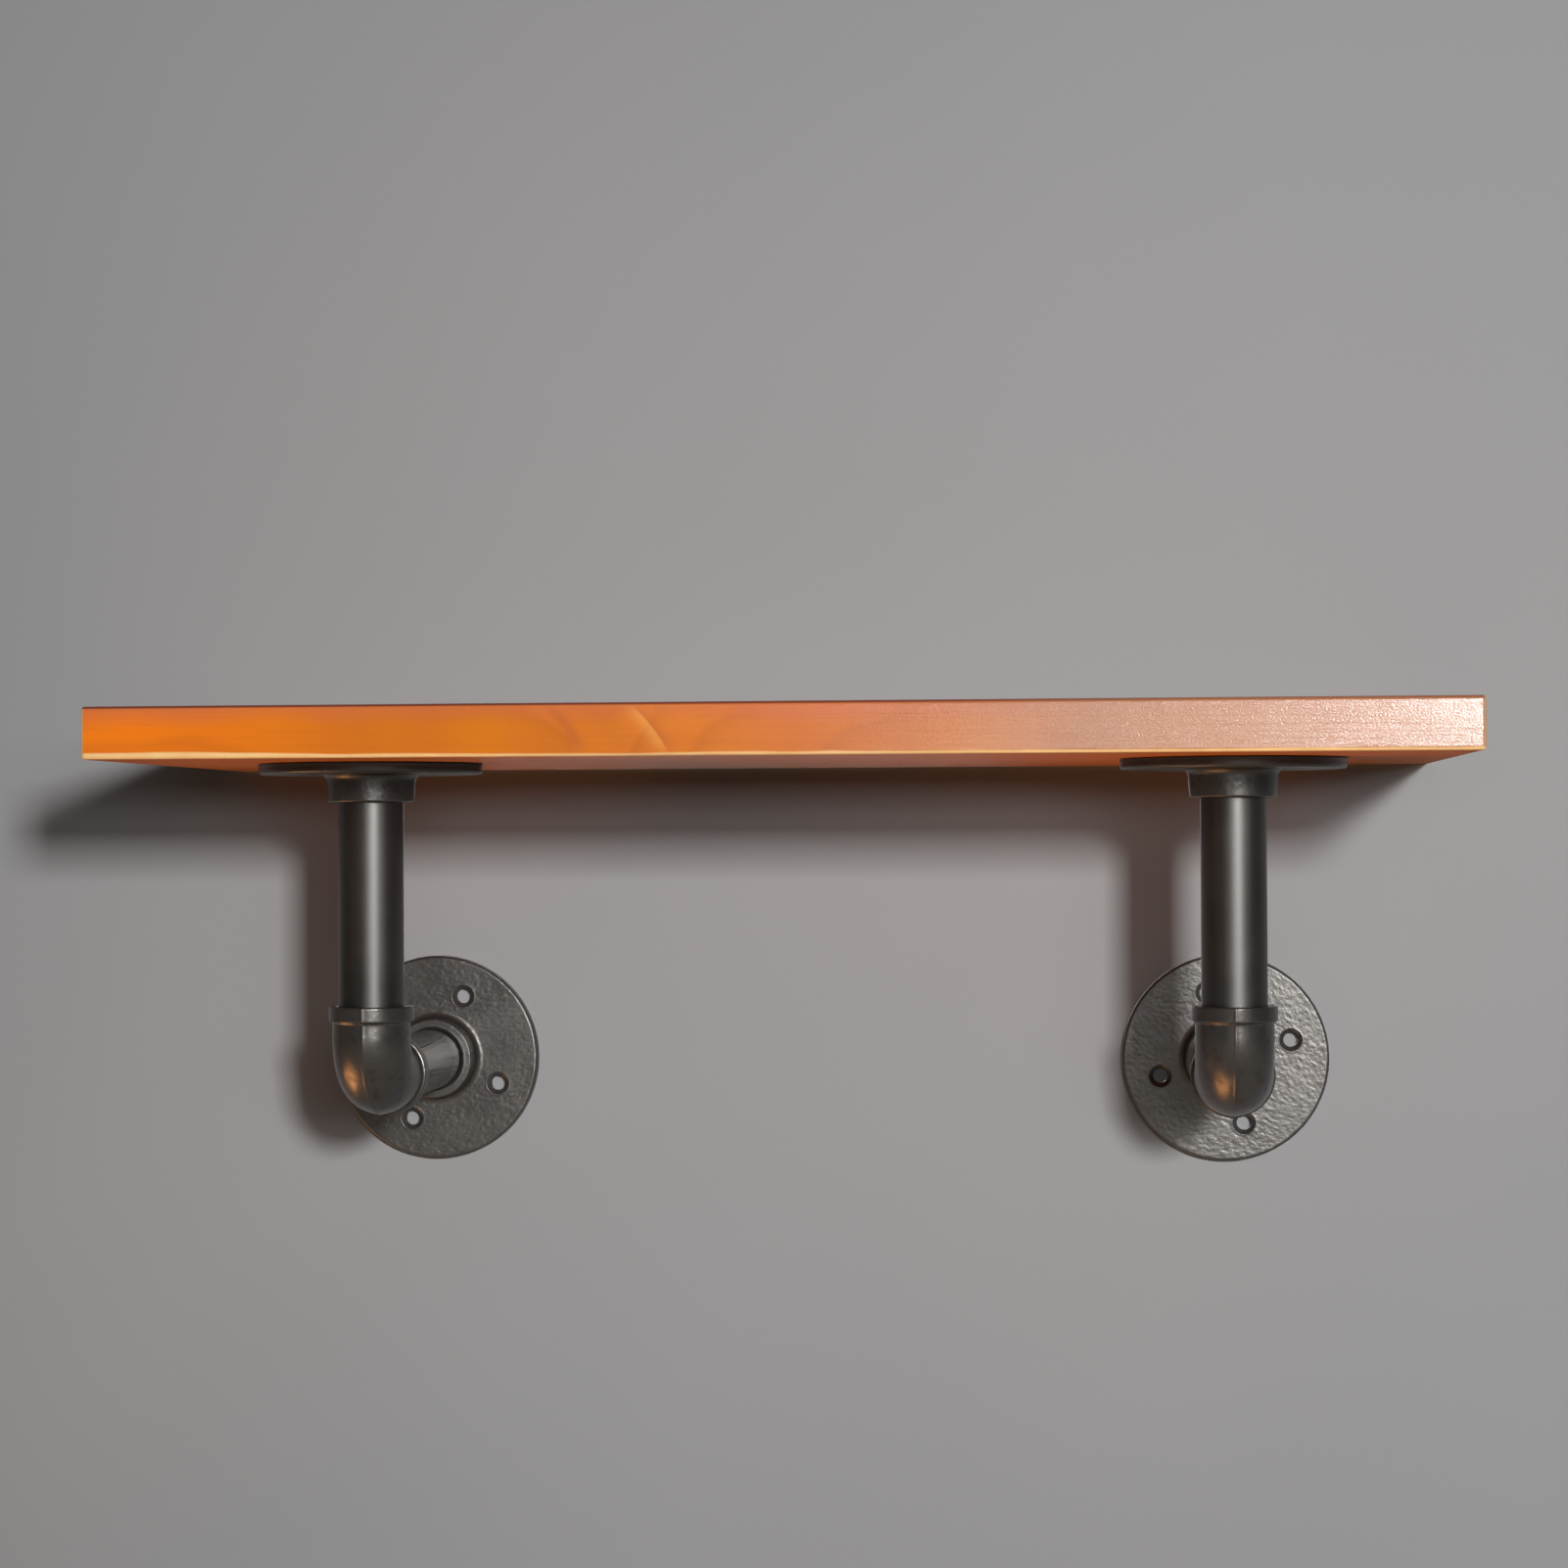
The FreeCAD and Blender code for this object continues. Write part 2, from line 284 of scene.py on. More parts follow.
# %% Disc: sectors and screw holes
def sector_border(inner_r, outer_r):
    """Border of the sector round +X, anticlockwise round its hole, as an open loop.

    It follows the outer arc, one side inwards, the inner arc back and the other side outwards.
    """
    out_angle = np.linspace(-HALF_SECTOR, HALF_SECTOR, OUTER_STEPS + 1)
    in_angle = np.linspace(HALF_SECTOR, -HALF_SECTOR, INNER_STEPS + 1)
    side_r = np.linspace(outer_r, inner_r, SIDE_STEPS + 1)
    angle = np.concatenate([out_angle, np.full(SIDE_STEPS, HALF_SECTOR), in_angle[1:],
                            np.full(SIDE_STEPS - 1, -HALF_SECTOR)])
    radius = np.concatenate([np.full(OUTER_STEPS + 1, outer_r), side_r[1:],
                             np.full(INNER_STEPS, inner_r), side_r[-2:0:-1]])
    return np.stack([radius * np.cos(angle), radius * np.sin(angle)], axis=1)


def ring_round_hole(border, radius):
    """Points on a circle round the hole, each towards its own border point."""
    centre = np.array([HOLE_CIRCLE_R, 0.0])
    towards = border - centre
    towards /= np.linalg.norm(towards, axis=1)[:, None]
    return centre + towards * radius


def flat_rays(border, hole_radius, height, steps):
    """Grid whose rows run from the hole's circle out to the border, all at one height."""
    start = ring_round_hole(border, hole_radius)
    t = np.linspace(0.0, 1.0, steps + 1)[:, None, None]
    flat = start * (1.0 - t) + border * t
    return np.concatenate([flat, np.full((*flat.shape[:2], 1), height)], axis=2)


def hole_wall(back_border, top_border):
    """Countersink and straight hole, from the disc's front face down to its back face.

    Each row is a circle whose points turn step by step from the front grid's rays to the back's.
    """
    lip_z = DISC_THICKNESS - COUNTERSINK_LIP
    cone_end = DISC_THICKNESS - (COUNTERSINK_R - HOLE_R)
    profile = path(
        line((COUNTERSINK_R + HOLE_ROUND, DISC_THICKNESS), (COUNTERSINK_R, lip_z), steps=2),
        line((COUNTERSINK_R, lip_z), (HOLE_R, cone_end), steps=5),
        line((HOLE_R, cone_end), (HOLE_R, BACK_ROUND), steps=5),
        line((HOLE_R, BACK_ROUND), (HOLE_R + BACK_ROUND, 0.0), steps=1),
    )
    rows = []
    for (radius, height), back in zip(profile, np.linspace(0.0, 1.0, len(profile))):
        top_ring = ring_round_hole(top_border, radius)
        back_ring = ring_round_hole(back_border, radius)
        ring = ring_round_hole(top_ring * (1.0 - back) + back_ring * back, radius)
        rows.append(np.column_stack([ring, np.full(len(ring), height)]))
    return np.array(rows)


print("border points of a sector:", len(sector_border(HUB_R, FLANGE_R)))

# %% Hub and bore: turned grids
def hub_angles(columns):
    """Angles of a turned grid's columns, evenly spaced from a sector's side on."""
    return np.arange(columns) / columns * 2.0 * math.pi - HALF_SECTOR


def round_hub(radius, angle, height):
    """Points round the hub's axis: x and y are the radius times the angle's cosine and sine."""
    radius, angle, height = np.broadcast_arrays(radius, angle, height)
    return np.stack([radius * np.cos(angle), radius * np.sin(angle), height], axis=-1)


def turned_grid(profile, columns):
    """Rows of a (radius, height) profile turned round the hub's axis."""
    return round_hub(profile[:, :1], hub_angles(columns), profile[:, 1:])


def threaded_grid(top, bottom, columns, mouth_height):
    """Threaded bore from height top down to height bottom, with about eight rows for each turn."""
    angle = hub_angles(columns)
    height = np.linspace(top, bottom, thread_rows(top - bottom))[:, None]
    return round_hub(thread_radius(angle, height - mouth_height), angle, height)


def turned_by(points, quarter_turns):
    """Points turned about the hub's axis by a number of quarter turns."""
    cos, sin = [(1, 0), (0, 1), (-1, 0), (0, -1)][quarter_turns]
    x, y, z = points[..., 0], points[..., 1], points[..., 2]
    return np.stack([x * cos - y * sin, x * sin + y * cos, z], axis=-1)


def flange_surfaces():
    """Surfaces of a flange with its back at height 0, its hub up and its first screw hole on +X."""
    fillet_r = HUB_R + HUB_DRAFT + HUB_FILLET
    fillet_z = DISC_THICKNESS + HUB_FILLET
    rim_r = FLANGE_R - RIM_ROUND
    rim_z = DISC_THICKNESS - RIM_ROUND
    back_r = FLANGE_R - BACK_ROUND
    hub_top_r = HUB_R - HUB_ROUND
    hub_round_z = FLANGE_HEIGHT - HUB_ROUND
    mouth_z = FLANGE_HEIGHT - MOUTH_BEVEL
    top_border = sector_border(fillet_r, rim_r)
    back_border = sector_border(BACK_BORE_R, back_r)
    front = flat_rays(top_border, COUNTERSINK_R + HOLE_ROUND, DISC_THICKNESS, TOP_RAY_STEPS)
    back = flat_rays(back_border, HOLE_R + BACK_ROUND, 0.0, BACK_RAY_STEPS)
    sector = (front, back, hole_wall(back_border, top_border))
    grids = [turned_by(grid, quarter) for quarter in range(SECTORS) for grid in sector]
    rim = path(
        arc((rim_r, rim_z), RIM_ROUND, 90, 0, steps=6),
        line((FLANGE_R, rim_z), (FLANGE_R, BACK_ROUND), steps=5),
        arc((back_r, BACK_ROUND), BACK_ROUND, 0, -90, steps=2),
    )
    grids.append(turned_grid(rim, SECTORS * OUTER_STEPS))
    hub = path(
        arc((fillet_r, fillet_z), HUB_FILLET, -90, -180, steps=7),
        line((HUB_R + HUB_DRAFT, fillet_z), (HUB_R, hub_round_z), steps=14),
        arc((hub_top_r, hub_round_z), HUB_ROUND, 0, 90, steps=5),
        line((hub_top_r, FLANGE_HEIGHT), (MOUTH_R + MOUTH_BEVEL, FLANGE_HEIGHT), steps=5),
        line((MOUTH_R + MOUTH_BEVEL, FLANGE_HEIGHT), (MOUTH_R, mouth_z), steps=3),
    )
    columns = SECTORS * INNER_STEPS
    bore = threaded_grid(mouth_z, BACK_ROUND, columns, FLANGE_HEIGHT)
    bore_end = turned_grid(np.array([[BACK_BORE_R, 0.0]]), columns)
    grids.append(np.concatenate([turned_grid(hub, columns), bore, bore_end]))
    return [surface(grid, close_columns=True) for grid in grids]


print("surfaces of a flange:", len(flange_surfaces()))

# %% [markdown]
# The disc's front and rim and the hub take the sand's texture as real relief: pebbles a millimetre or
# two across. The relief only sinks, so the casting never grows past its true size, and it fades out
# on the flat back, in the bore and in the screw holes, which are machined.

# %% Floor flange: relief
PEBBLE_LAYERS = (
    (1.45 * MM, 0.05 * MM),
    (1.05 * MM, 0.11 * MM),
    (0.75 * MM, 0.08 * MM),
    (9.0 * MM, 0.05 * MM),
)
PEBBLE_STRETCH = 1.5
CAST_Z = (0.2 * MM, 1.6 * MM)
CAST_MOUTH_R = (MOUTH_R + MOUTH_BEVEL, MOUTH_R + 2.0 * MOUTH_BEVEL)
CAST_HOLE_R = (COUNTERSINK_R, COUNTERSINK_R + 3.0 * HOLE_ROUND)


def pebble_points(points):
    """Points squeezed along one diagonal of the disc, so that the noise on them comes out stretched."""
    diagonal = (points[:, 0] - points[:, 1]) / math.sqrt(2.0)
    across = (points[:, 0] + points[:, 1]) / math.sqrt(2.0)
    return np.column_stack([diagonal / PEBBLE_STRETCH, across, points[:, 2]])


def flange_mesh(name, seed):
    """Flange with sand relief: the sunk depth times a mask that is 0 on its machined places."""
    mesh = welded_mesh(name, flange_surfaces())
    points = rows_of(mesh.vertices, "co")
    radius = np.hypot(points[:, 0], points[:, 1])
    first_hole = np.array([HOLE_CIRCLE_R, 0.0, 0.0])
    from_holes = [points - turned_by(first_hole, quarter) for quarter in range(SECTORS)]
    hole = np.min([np.hypot(away[:, 0], away[:, 1]) for away in from_holes], axis=0)
    cast = smoothstep(*CAST_Z, points[:, 2])
    cast *= smoothstep(*CAST_MOUTH_R, radius)
    cast *= smoothstep(*CAST_HOLE_R, hole)
    relief = cast * sunk_by(pebble_points(points), PEBBLE_LAYERS, seed)
    sink(mesh, relief)
    store(mesh, "pit", relief / sum(depth for _, depth in PEBBLE_LAYERS))
    return mesh


# %% Place the four flanges
FLANGES = {  # the first hole's angle in degrees, and the seed of the sand texture
    "left_wall_flange": (67.0, 10),
    "right_wall_flange": (15.5, 20),
    "left_board_flange": (45.0, 30),
    "right_board_flange": (45.0, 40),
}
for node, (first_hole, seed) in FLANGES.items():
    low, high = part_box(node)
    middle = (low + high) / 2
    spin = Matrix.Rotation(math.radians(first_hole), 4, "Z")
    if "wall" in node:
        place = Matrix.Translation((middle.x, high.y, middle.z)) @ Matrix.Rotation(math.pi / 2, 4, "X")
    else:
        place = Matrix.Translation((middle.x, middle.y, high.z)) @ Matrix.Rotation(math.pi, 4, "X")
    skins[node] = piece_for(node, flange_mesh(f"{node}_skin", seed), place @ spin)

# %% [markdown]
# ## Banded elbow
# The elbow is also cast, but smoother: a bent tube with a thick band round each mouth and the ridge
# where the two halves of the mould met. It is one closed profile carried along the centre line:
# straight, a quarter circle, straight. The profile goes out along the outside and comes back along
# the inside, so every row is a circle and the piece has no seam to close.

# %% Elbow: sizes and centre line
ELBOW_REACH = 29.0 * MM
BEND_R = 17.0 * MM
BODY_R = 15.6 * MM
BAND_R = 17.0 * MM
BAND_WIDTH = 6.3 * MM
BAND_ROUND = 0.7 * MM
BAND_FILLET = 0.9 * MM
PASSAGE_R = 11.3 * MM
SOCKET_DEPTH = 11.45 * MM
BODY_STEPS = 60
PASSAGE_STEPS = 24
ELBOW_COLUMNS = 224
ELBOW_STRAIGHT = ELBOW_REACH - BEND_R
ELBOW_BEND = BEND_R * math.pi / 2
ELBOW_LENGTH = 2.0 * ELBOW_STRAIGHT + ELBOW_BEND


def centre_line(s):
    """Points, and sideways directions, at distance s along the centre line from the upper mouth.

    The line goes down to the bend, turns through a quarter circle of the bend's radius, whose centre
    lies that radius behind and above the elbow's corner, and leaves along +Y.
    """
    turn = np.clip((s - ELBOW_STRAIGHT) / BEND_R, 0.0, math.pi / 2)
    down = np.minimum(s, ELBOW_STRAIGHT)
    along = np.maximum(s - ELBOW_STRAIGHT - ELBOW_BEND, 0.0)
    y = BEND_R - BEND_R * np.cos(turn) + along
    z = ELBOW_REACH - down - BEND_R * np.sin(turn)
    centre = np.stack([np.zeros_like(y), y, z], axis=-1)
    sideways = np.stack([np.zeros_like(y), np.cos(turn), np.sin(turn)], axis=-1)
    return centre, sideways


def nearest_centre(points):
    """Nearest place on the centre line, where the bend's part is found by its angle."""
    y, z = points[:, 1], points[:, 2]
    turn = np.clip(np.arctan2(BEND_R - z, BEND_R - y), 0.0, math.pi / 2)
    upright = z > BEND_R
    level = (y > BEND_R) & ~upright
    near_y = np.select([upright, level], [np.zeros_like(y), y], BEND_R - BEND_R * np.cos(turn))
    near_z = np.select([upright, level], [z, np.zeros_like(z)], BEND_R - BEND_R * np.sin(turn))
    return np.stack([np.zeros_like(y), near_y, near_z], axis=1)


print("elbow's centre line, mm:", round(ELBOW_LENGTH / MM, 1))

# %% Elbow: the closed profile
SEAM_HALF_WIDTH = 0.6 * MM
SEAM_FLAT_SHARE = 0.6
SEAM_HEIGHT = 0.10 * MM
CREASE_HEIGHT = 0.36 * MM
CREASE_WIDTH = 2.6 * MM
elbow_angle = np.arange(ELBOW_COLUMNS) / ELBOW_COLUMNS * 2.0 * math.pi


def outside_of_mouth():
    """Outside of one mouth as (distance from the mouth, radius), from the mouth's face to the body."""
    band_end = BAND_WIDTH - BAND_ROUND
    band_side = BAND_R - BAND_ROUND
    foot = BAND_WIDTH + BAND_FILLET
    return path(
        line((0.0, MOUTH_R + MOUTH_BEVEL), (0.0, band_side), steps=3),
        arc((BAND_ROUND, band_side), BAND_ROUND, 180, 90, steps=5),
        line((BAND_ROUND, BAND_R), (band_end, BAND_R), steps=9),
        arc((band_end, band_side), BAND_ROUND, 90, 0, steps=5),
        arc((foot, BODY_R + BAND_FILLET), BAND_FILLET, 200, 270, steps=5),
    )


def outside_of_elbow():
    """Distances and radii of the outside, with the mould's seam and a crease along the middle plane.

    The seam is a flat ridge with eased sides. The crease rises to it, and falls away by e to the
    power of minus the distance divided by the crease's width.
    """
    near = outside_of_mouth()
    far = near[::-1] * (-1.0, 1.0) + (ELBOW_LENGTH, 0.0)
    profile = path(near, line(near[-1], far[0], BODY_STEPS), far)
    radius = np.repeat(profile[:, 1:], ELBOW_COLUMNS, axis=1)
    from_seam = np.abs(radius * np.cos(elbow_angle))
    ridge = SEAM_HEIGHT * (1.0 - smoothstep(SEAM_FLAT_SHARE * SEAM_HALF_WIDTH, SEAM_HALF_WIDTH, from_seam))
    ridge += CREASE_HEIGHT * np.exp(-from_seam / CREASE_WIDTH)
    ridge *= smoothstep(*CAST_MOUTH_R, radius)
    return profile[:, 0], radius + ridge


def inside_of_mouth(winding):
    """Distances from the mouth and radii of its bevel and thread, whose helix turns with winding."""
    bevel = line((0.0, MOUTH_R + MOUTH_BEVEL), (MOUTH_BEVEL, MOUTH_R), steps=3)[1:]
    depth = np.linspace(MOUTH_BEVEL, SOCKET_DEPTH, thread_rows(SOCKET_DEPTH - MOUTH_BEVEL) + 1)[1:]
    bevel_r = np.repeat(bevel[:, 1:], ELBOW_COLUMNS, axis=1)
    thread_r = thread_radius(winding * elbow_angle, -depth[:, None])
    return np.concatenate([bevel[:, 0], depth]), np.concatenate([bevel_r, thread_r])


print("rows outside and in one mouth:", len(outside_of_elbow()[0]), len(inside_of_mouth(1.0)[0]))

# %% Elbow: carried along the centre line
ELBOW_RIPPLES = ((3.2 * MM, 0.07 * MM), (1.3 * MM, 0.05 * MM))


def elbow_mesh(name, seed):
    """Elbow whose centre lines meet at the origin, with its mouths facing +Z and +Y.

    A point is the centre line's point, plus the radius times the angle's cosine across and its sine
    sideways.
    """
    out_s, out_r = outside_of_elbow()
    far_s, far_r = inside_of_mouth(-1.0)
    near_s, near_r = inside_of_mouth(1.0)
    passage_s = np.linspace(ELBOW_LENGTH - SOCKET_DEPTH, SOCKET_DEPTH, PASSAGE_STEPS + 1)
    passage_r = np.full((len(passage_s), ELBOW_COLUMNS), PASSAGE_R)
    s = np.concatenate([out_s, ELBOW_LENGTH - far_s, passage_s, near_s[::-1]])
    radius = np.concatenate([out_r, far_r, passage_r, near_r[::-1]])[:, :, None]
    centre, sideways = centre_line(s)
    across = np.array([1.0, 0.0, 0.0])
    ring = np.cos(elbow_angle)[:, None] * across + np.sin(elbow_angle)[:, None] * sideways[:, None, :]
    points = centre[:, None, :] + radius * ring
    mesh = welded_mesh(name, [surface(points, close_rows=True, close_columns=True)])

    points = rows_of(mesh.vertices, "co")
    facing_out = (rows_of(mesh.vertex_normals, "vector") * (points - nearest_centre(points))).sum(axis=1)
    relief = sunk_by(points, ELBOW_RIPPLES, seed) * (facing_out > 0.0)
    sink(mesh, relief)
    store(mesh, "pit", relief / sum(depth for _, depth in ELBOW_RIPPLES))
    return mesh


ELBOW_SEEDS = {"left_elbow": 60, "right_elbow": 70}
for node, seed in ELBOW_SEEDS.items():
    low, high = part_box(node)
    corner = Matrix.Translation(((low.x + high.x) / 2, high.y - ELBOW_REACH, high.z - ELBOW_REACH))
    skins[node] = piece_for(node, elbow_mesh(f"{node}_skin", seed), corner)

# %% [markdown]
# ## Board
# The board is solid wood with sanded, slightly uneven edges. A box with a bevel would have dead
# straight edges, so the board is one grid instead: the rounded outline of its end, carried along its
# length, drawn in towards a line at both ends to close them.

# %% Board: outline of its end
EDGE_ROUND = 1.4 * MM
LONG_STEPS = 96
SHORT_STEPS = 12
CORNER_STEPS = 6
LENGTH_STEPS = 210
END_STEPS = 8
KEPT_FLAT = 0.25 * MM


def flat_steps(far, count):
    """Places along a flat side, with one more close to each end so that shading stays flat there."""
    inner = np.linspace(-far, far, count + 1)[1:-1]
    if far < 2.0 * KEPT_FLAT:
        return inner
    inner[0] = KEPT_FLAT - far
    inner[-1] = far - KEPT_FLAT
    return inner


def end_outline(half_depth, half_height, inset):
    """Closed outline in (y, z), drawn in by inset: four sides with quarter circles between them."""
    radius = max(EDGE_ROUND - inset, 0.0)
    far_y = half_depth - max(inset, EDGE_ROUND)
    far_z = half_height - max(inset, EDGE_ROUND)
    side_y = flat_steps(far_y, LONG_STEPS)
    side_z = flat_steps(far_z, SHORT_STEPS)
    level = np.full(len(side_y), far_z + radius)
    upright = np.full(len(side_z), far_y + radius)
    return np.concatenate([
        arc((far_y, far_z), radius, 0, 90, CORNER_STEPS),
        np.column_stack([side_y[::-1], level]),
        arc((-far_y, far_z), radius, 90, 180, CORNER_STEPS),
        np.column_stack([-upright, side_z[::-1]]),
        arc((-far_y, -far_z), radius, 180, 270, CORNER_STEPS),
        np.column_stack([side_y, -level]),
        arc((far_y, -far_z), radius, 270, 360, CORNER_STEPS),
        np.column_stack([upright, side_z]),
    ])


def board_grid(half):
    """The outline at every place along the length, drawn in at both ends to close and round them."""
    end_inset = np.linspace(half.z, EDGE_ROUND, END_STEPS + 1)[:-1]
    angle = np.linspace(0.0, math.pi / 2, CORNER_STEPS + 1)
    near_inset = np.concatenate([end_inset, EDGE_ROUND * (1.0 - np.sin(angle))])
    near_x = np.concatenate([np.zeros(END_STEPS), EDGE_ROUND * (1.0 - np.cos(angle))]) - half.x
    middle_x = flat_steps(half.x - EDGE_ROUND, LENGTH_STEPS)
    places = np.concatenate([near_x, middle_x, -near_x[::-1]])
    insets = np.concatenate([near_inset, np.zeros(len(middle_x)), near_inset[::-1]])
    outlines = np.array([end_outline(half.y, half.z, inset) for inset in insets])
    x = np.broadcast_to(places[:, None, None], (*outlines.shape[:2], 1))
    return np.concatenate([x, outlines], axis=2)


board_low, board_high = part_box("shelf_board")
board_half = (board_high - board_low) / 2
print("board grid, rows and columns:", board_grid(board_half).shape[:2])

# %% [markdown]
# Sanding takes more off the edges than off the faces. The mesh also remembers where the lower and end
# arrises are rubbed through to the wood, where the top arris gets a thin darker line, and which points
# face down and got little varnish. The normals tell all three: on a flat face one part of the normal
# is 1 or -1, and on an edge none is.

# %% Board: sanded edges and stored numbers
BOARD_SEED = 90
FACE_WANDER = ((55.0 * MM, 0.04 * MM),)
EDGE_WANDER = ((17.0 * MM, 0.12 * MM),)
ON_EDGE = (0.002, 0.04)
ON_ARRIS = (0.02, 0.08)
FACING_UP = (0.1, 0.5)
FACING_DOWN = (0.5, 0.9)
LESS_RUBBED_AT_END = 0.65
LESS_RUBBED_FROM = 3.0 * MM
LESS_RUBBED_FULL = 1.5 * MM
LESS_DARKENED_ARRIS = 0.6
LESS_DARKENED_ARRIS_X = (20.0 * MM, 180.0 * MM)


def board_mesh(name, half, seed):
    """Board centred on the origin, sunk by a slow wander on its faces and a quicker one on its edges."""
    mesh = welded_mesh(name, [surface(board_grid(half), close_columns=True)])
    points = rows_of(mesh.vertices, "co")
    normals = rows_of(mesh.vertex_normals, "vector")
    bent = 1.0 - np.abs(normals).max(axis=1)
    edge = smoothstep(*ON_EDGE, bent)
    sink(mesh, sunk_by(points, FACE_WANDER, seed) + edge * sunk_by(points, EDGE_WANDER, seed + 1))
    upward = smoothstep(*FACING_UP, normals[:, 2])
    right_end = smoothstep(half.x - LESS_RUBBED_FROM, half.x - LESS_RUBBED_FULL, points[:, 0])
    worn = smoothstep(*ON_ARRIS, bent) * (1.0 - LESS_RUBBED_AT_END * right_end)
    store(mesh, "rubbed", worn * (1.0 - upward))
    store(mesh, "darker_top_arris", edge * upward * (1.0 - LESS_DARKENED_ARRIS * smoothstep(*LESS_DARKENED_ARRIS_X, points[:, 0])))
    store(mesh, "bare", smoothstep(*FACING_DOWN, -normals[:, 2]))
    return mesh


board = board_mesh("shelf_board_skin", board_half, BOARD_SEED)
board_middle = Matrix.Translation((board_low + board_high) / 2)
piece_for("shelf_board", board, board_middle)

# %% [markdown]
# ## Materials: a small kit for node trees
# A material is a tree of nodes. The helpers below only save typing: one joins two sockets, one adds
# a node and sets its values, and the others add one kind of node each. Effects that several finishes
# share are node groups with their own inputs and outputs, so that each finish gives its own values.

# %% Helpers: nodes, sums and ranges
def feed(tree, source, socket):
    """Gives an input a plain value, or joins it to the output of another node."""
    if isinstance(source, bpy.types.NodeSocket):
        tree.links.new(source, socket)
    else:
        socket.default_value = source


def add_node(tree, kind, **values):
    """Adds a node. A value named like an input feeds that input, others set the node's property."""
    node = tree.nodes.new(kind)
    for key, value in values.items():
        label = key.replace("_", " ").title()
        if label in node.inputs:
            feed(tree, value, node.inputs[label])
        else:
            setattr(node, key, value)
    return node


def math_node(tree, operation, *values):
    """Result of one sum on sockets or plain numbers."""
    node = add_node(tree, "ShaderNodeMath", operation=operation)
    for value, socket in zip(values, node.inputs):
        feed(tree, value, socket)
    return node.outputs[0]


def plus(tree, first, second):
    """First and second added."""
    return math_node(tree, "ADD", first, second)


def times(tree, first, second):
    """First times second."""
    return math_node(tree, "MULTIPLY", first, second)


def times_plus(tree, first, second, third):
    """First times second, plus third."""
    return math_node(tree, "MULTIPLY_ADD", first, second, third)


def remap(tree, value, low, high, to_low=0.0, to_high=1.0):
    """Value from the range low to high, carried to another range and kept inside it."""
    node = add_node(tree, "ShaderNodeMapRange", value=value, from_min=low, from_max=high,
                    to_min=to_low, to_max=to_high)
    return node.outputs["Result"]


# %% Helpers: patterns, colours and shaders
def noise_node(tree, vector, scale, detail=2.0, roughness=0.5):
    """Noise between 0 and 1 at a vector socket."""
    noise = add_node(tree, "ShaderNodeTexNoise", vector=vector, scale=scale, detail=detail,
                     roughness=roughness)
    return noise.outputs["Fac"]


def stretched(tree, vector, scale):
    """A vector with each axis multiplied by its own scale, which squeezes a pattern along it."""
    return add_node(tree, "ShaderNodeMapping", vector=vector, scale=scale).outputs[0]


def point_value(tree, name):
    """The number that the mesh keeps for each point under a name."""
    return add_node(tree, "ShaderNodeAttribute", attribute_name=name).outputs["Fac"]


def blend_colour(tree, factor, first, second):
    """Blend of two colours, given as sockets or as (red, green, blue).

    The node has sockets for several kinds of value. Inputs 6 and 7 and output 2 are its colours.
    """
    node = add_node(tree, "ShaderNodeMix", data_type="RGBA")
    feed(tree, factor, node.inputs[0])
    for socket, colour in ((node.inputs[6], first), (node.inputs[7], second)):
        feed(tree, (*colour, 1.0) if isinstance(colour, tuple) else colour, socket)
    return node.outputs[2]


def shaded(colour, lightness):
    """A colour made darker or lighter as a whole."""
    return tuple(lightness * part for part in colour)


def new_material(name, metallic=0.0, specular=0.5):
    """A material with a Principled shader and the object's own coordinates."""
    material = bpy.data.materials.new(name)
    material.use_nodes = True
    tree = material.node_tree
    tree.nodes.clear()
    shader = add_node(tree, "ShaderNodeBsdfPrincipled", metallic=metallic)
    shader.inputs["Specular IOR Level"].default_value = specular
    add_node(tree, "ShaderNodeOutputMaterial", surface=shader.outputs[0])
    place = tree.nodes.new("ShaderNodeTexCoord").outputs["Object"]
    return material, tree, shader, place


def finish_shader(tree, shader, colour, roughness, height, height_scale):
    """Feeds colour and roughness into the shader, and a height times its scale into its normal."""
    bump = add_node(tree, "ShaderNodeBump", strength=1.0, distance=height_scale, height=height)
    feed(tree, colour, shader.inputs["Base Color"])
    feed(tree, roughness, shader.inputs["Roughness"])
    feed(tree, bump.outputs[0], shader.inputs["Normal"])


# %% [markdown]
# ## Uneven black, shared by castings, pipes and screws
# The castings are painted, the pipes carry mill scale and the screws are phosphated. Close to, none of
# these thin black skins is even: each has broad cloudy patches and a fine grit, and in paint and scale
# the patches are also a little duller. One group makes patches and grit from noise at two scales.

# %% Group: uneven black
PAINT_INPUTS = {"Vector": None, "Cloud Scale": 40.0, "Grit Scale": 1400.0, "Grit Amount": 0.5}
PAINT_OUTPUTS = ("Cloud", "Grit", "Height")
CLOUD_RANGE = (0.3, 0.7)
GRIT_RANGE = (0.35, 0.75)

paint = bpy.data.node_groups.new("uneven_paint", "ShaderNodeTree")
for label, value in PAINT_INPUTS.items():
    kind = "NodeSocketVector" if value is None else "NodeSocketFloat"
    socket = paint.interface.new_socket(label, in_out="INPUT", socket_type=kind)
    if value is not None:
        socket.default_value = value
for label in PAINT_OUTPUTS:
    paint.interface.new_socket(label, in_out="OUTPUT", socket_type="NodeSocketFloat")
start = paint.nodes.new("NodeGroupInput").outputs
end = paint.nodes.new("NodeGroupOutput").inputs
cloud = noise_node(paint, start["Vector"], start["Cloud Scale"], detail=3.0, roughness=0.55)
grit = noise_node(paint, start["Vector"], start["Grit Scale"], detail=2.0, roughness=0.6)
cloud = remap(paint, cloud, *CLOUD_RANGE)
grit = remap(paint, grit, *GRIT_RANGE)
for label, value in zip(PAINT_OUTPUTS, (cloud, grit, times(paint, grit, start["Grit Amount"]))):
    feed(paint, value, end[label])


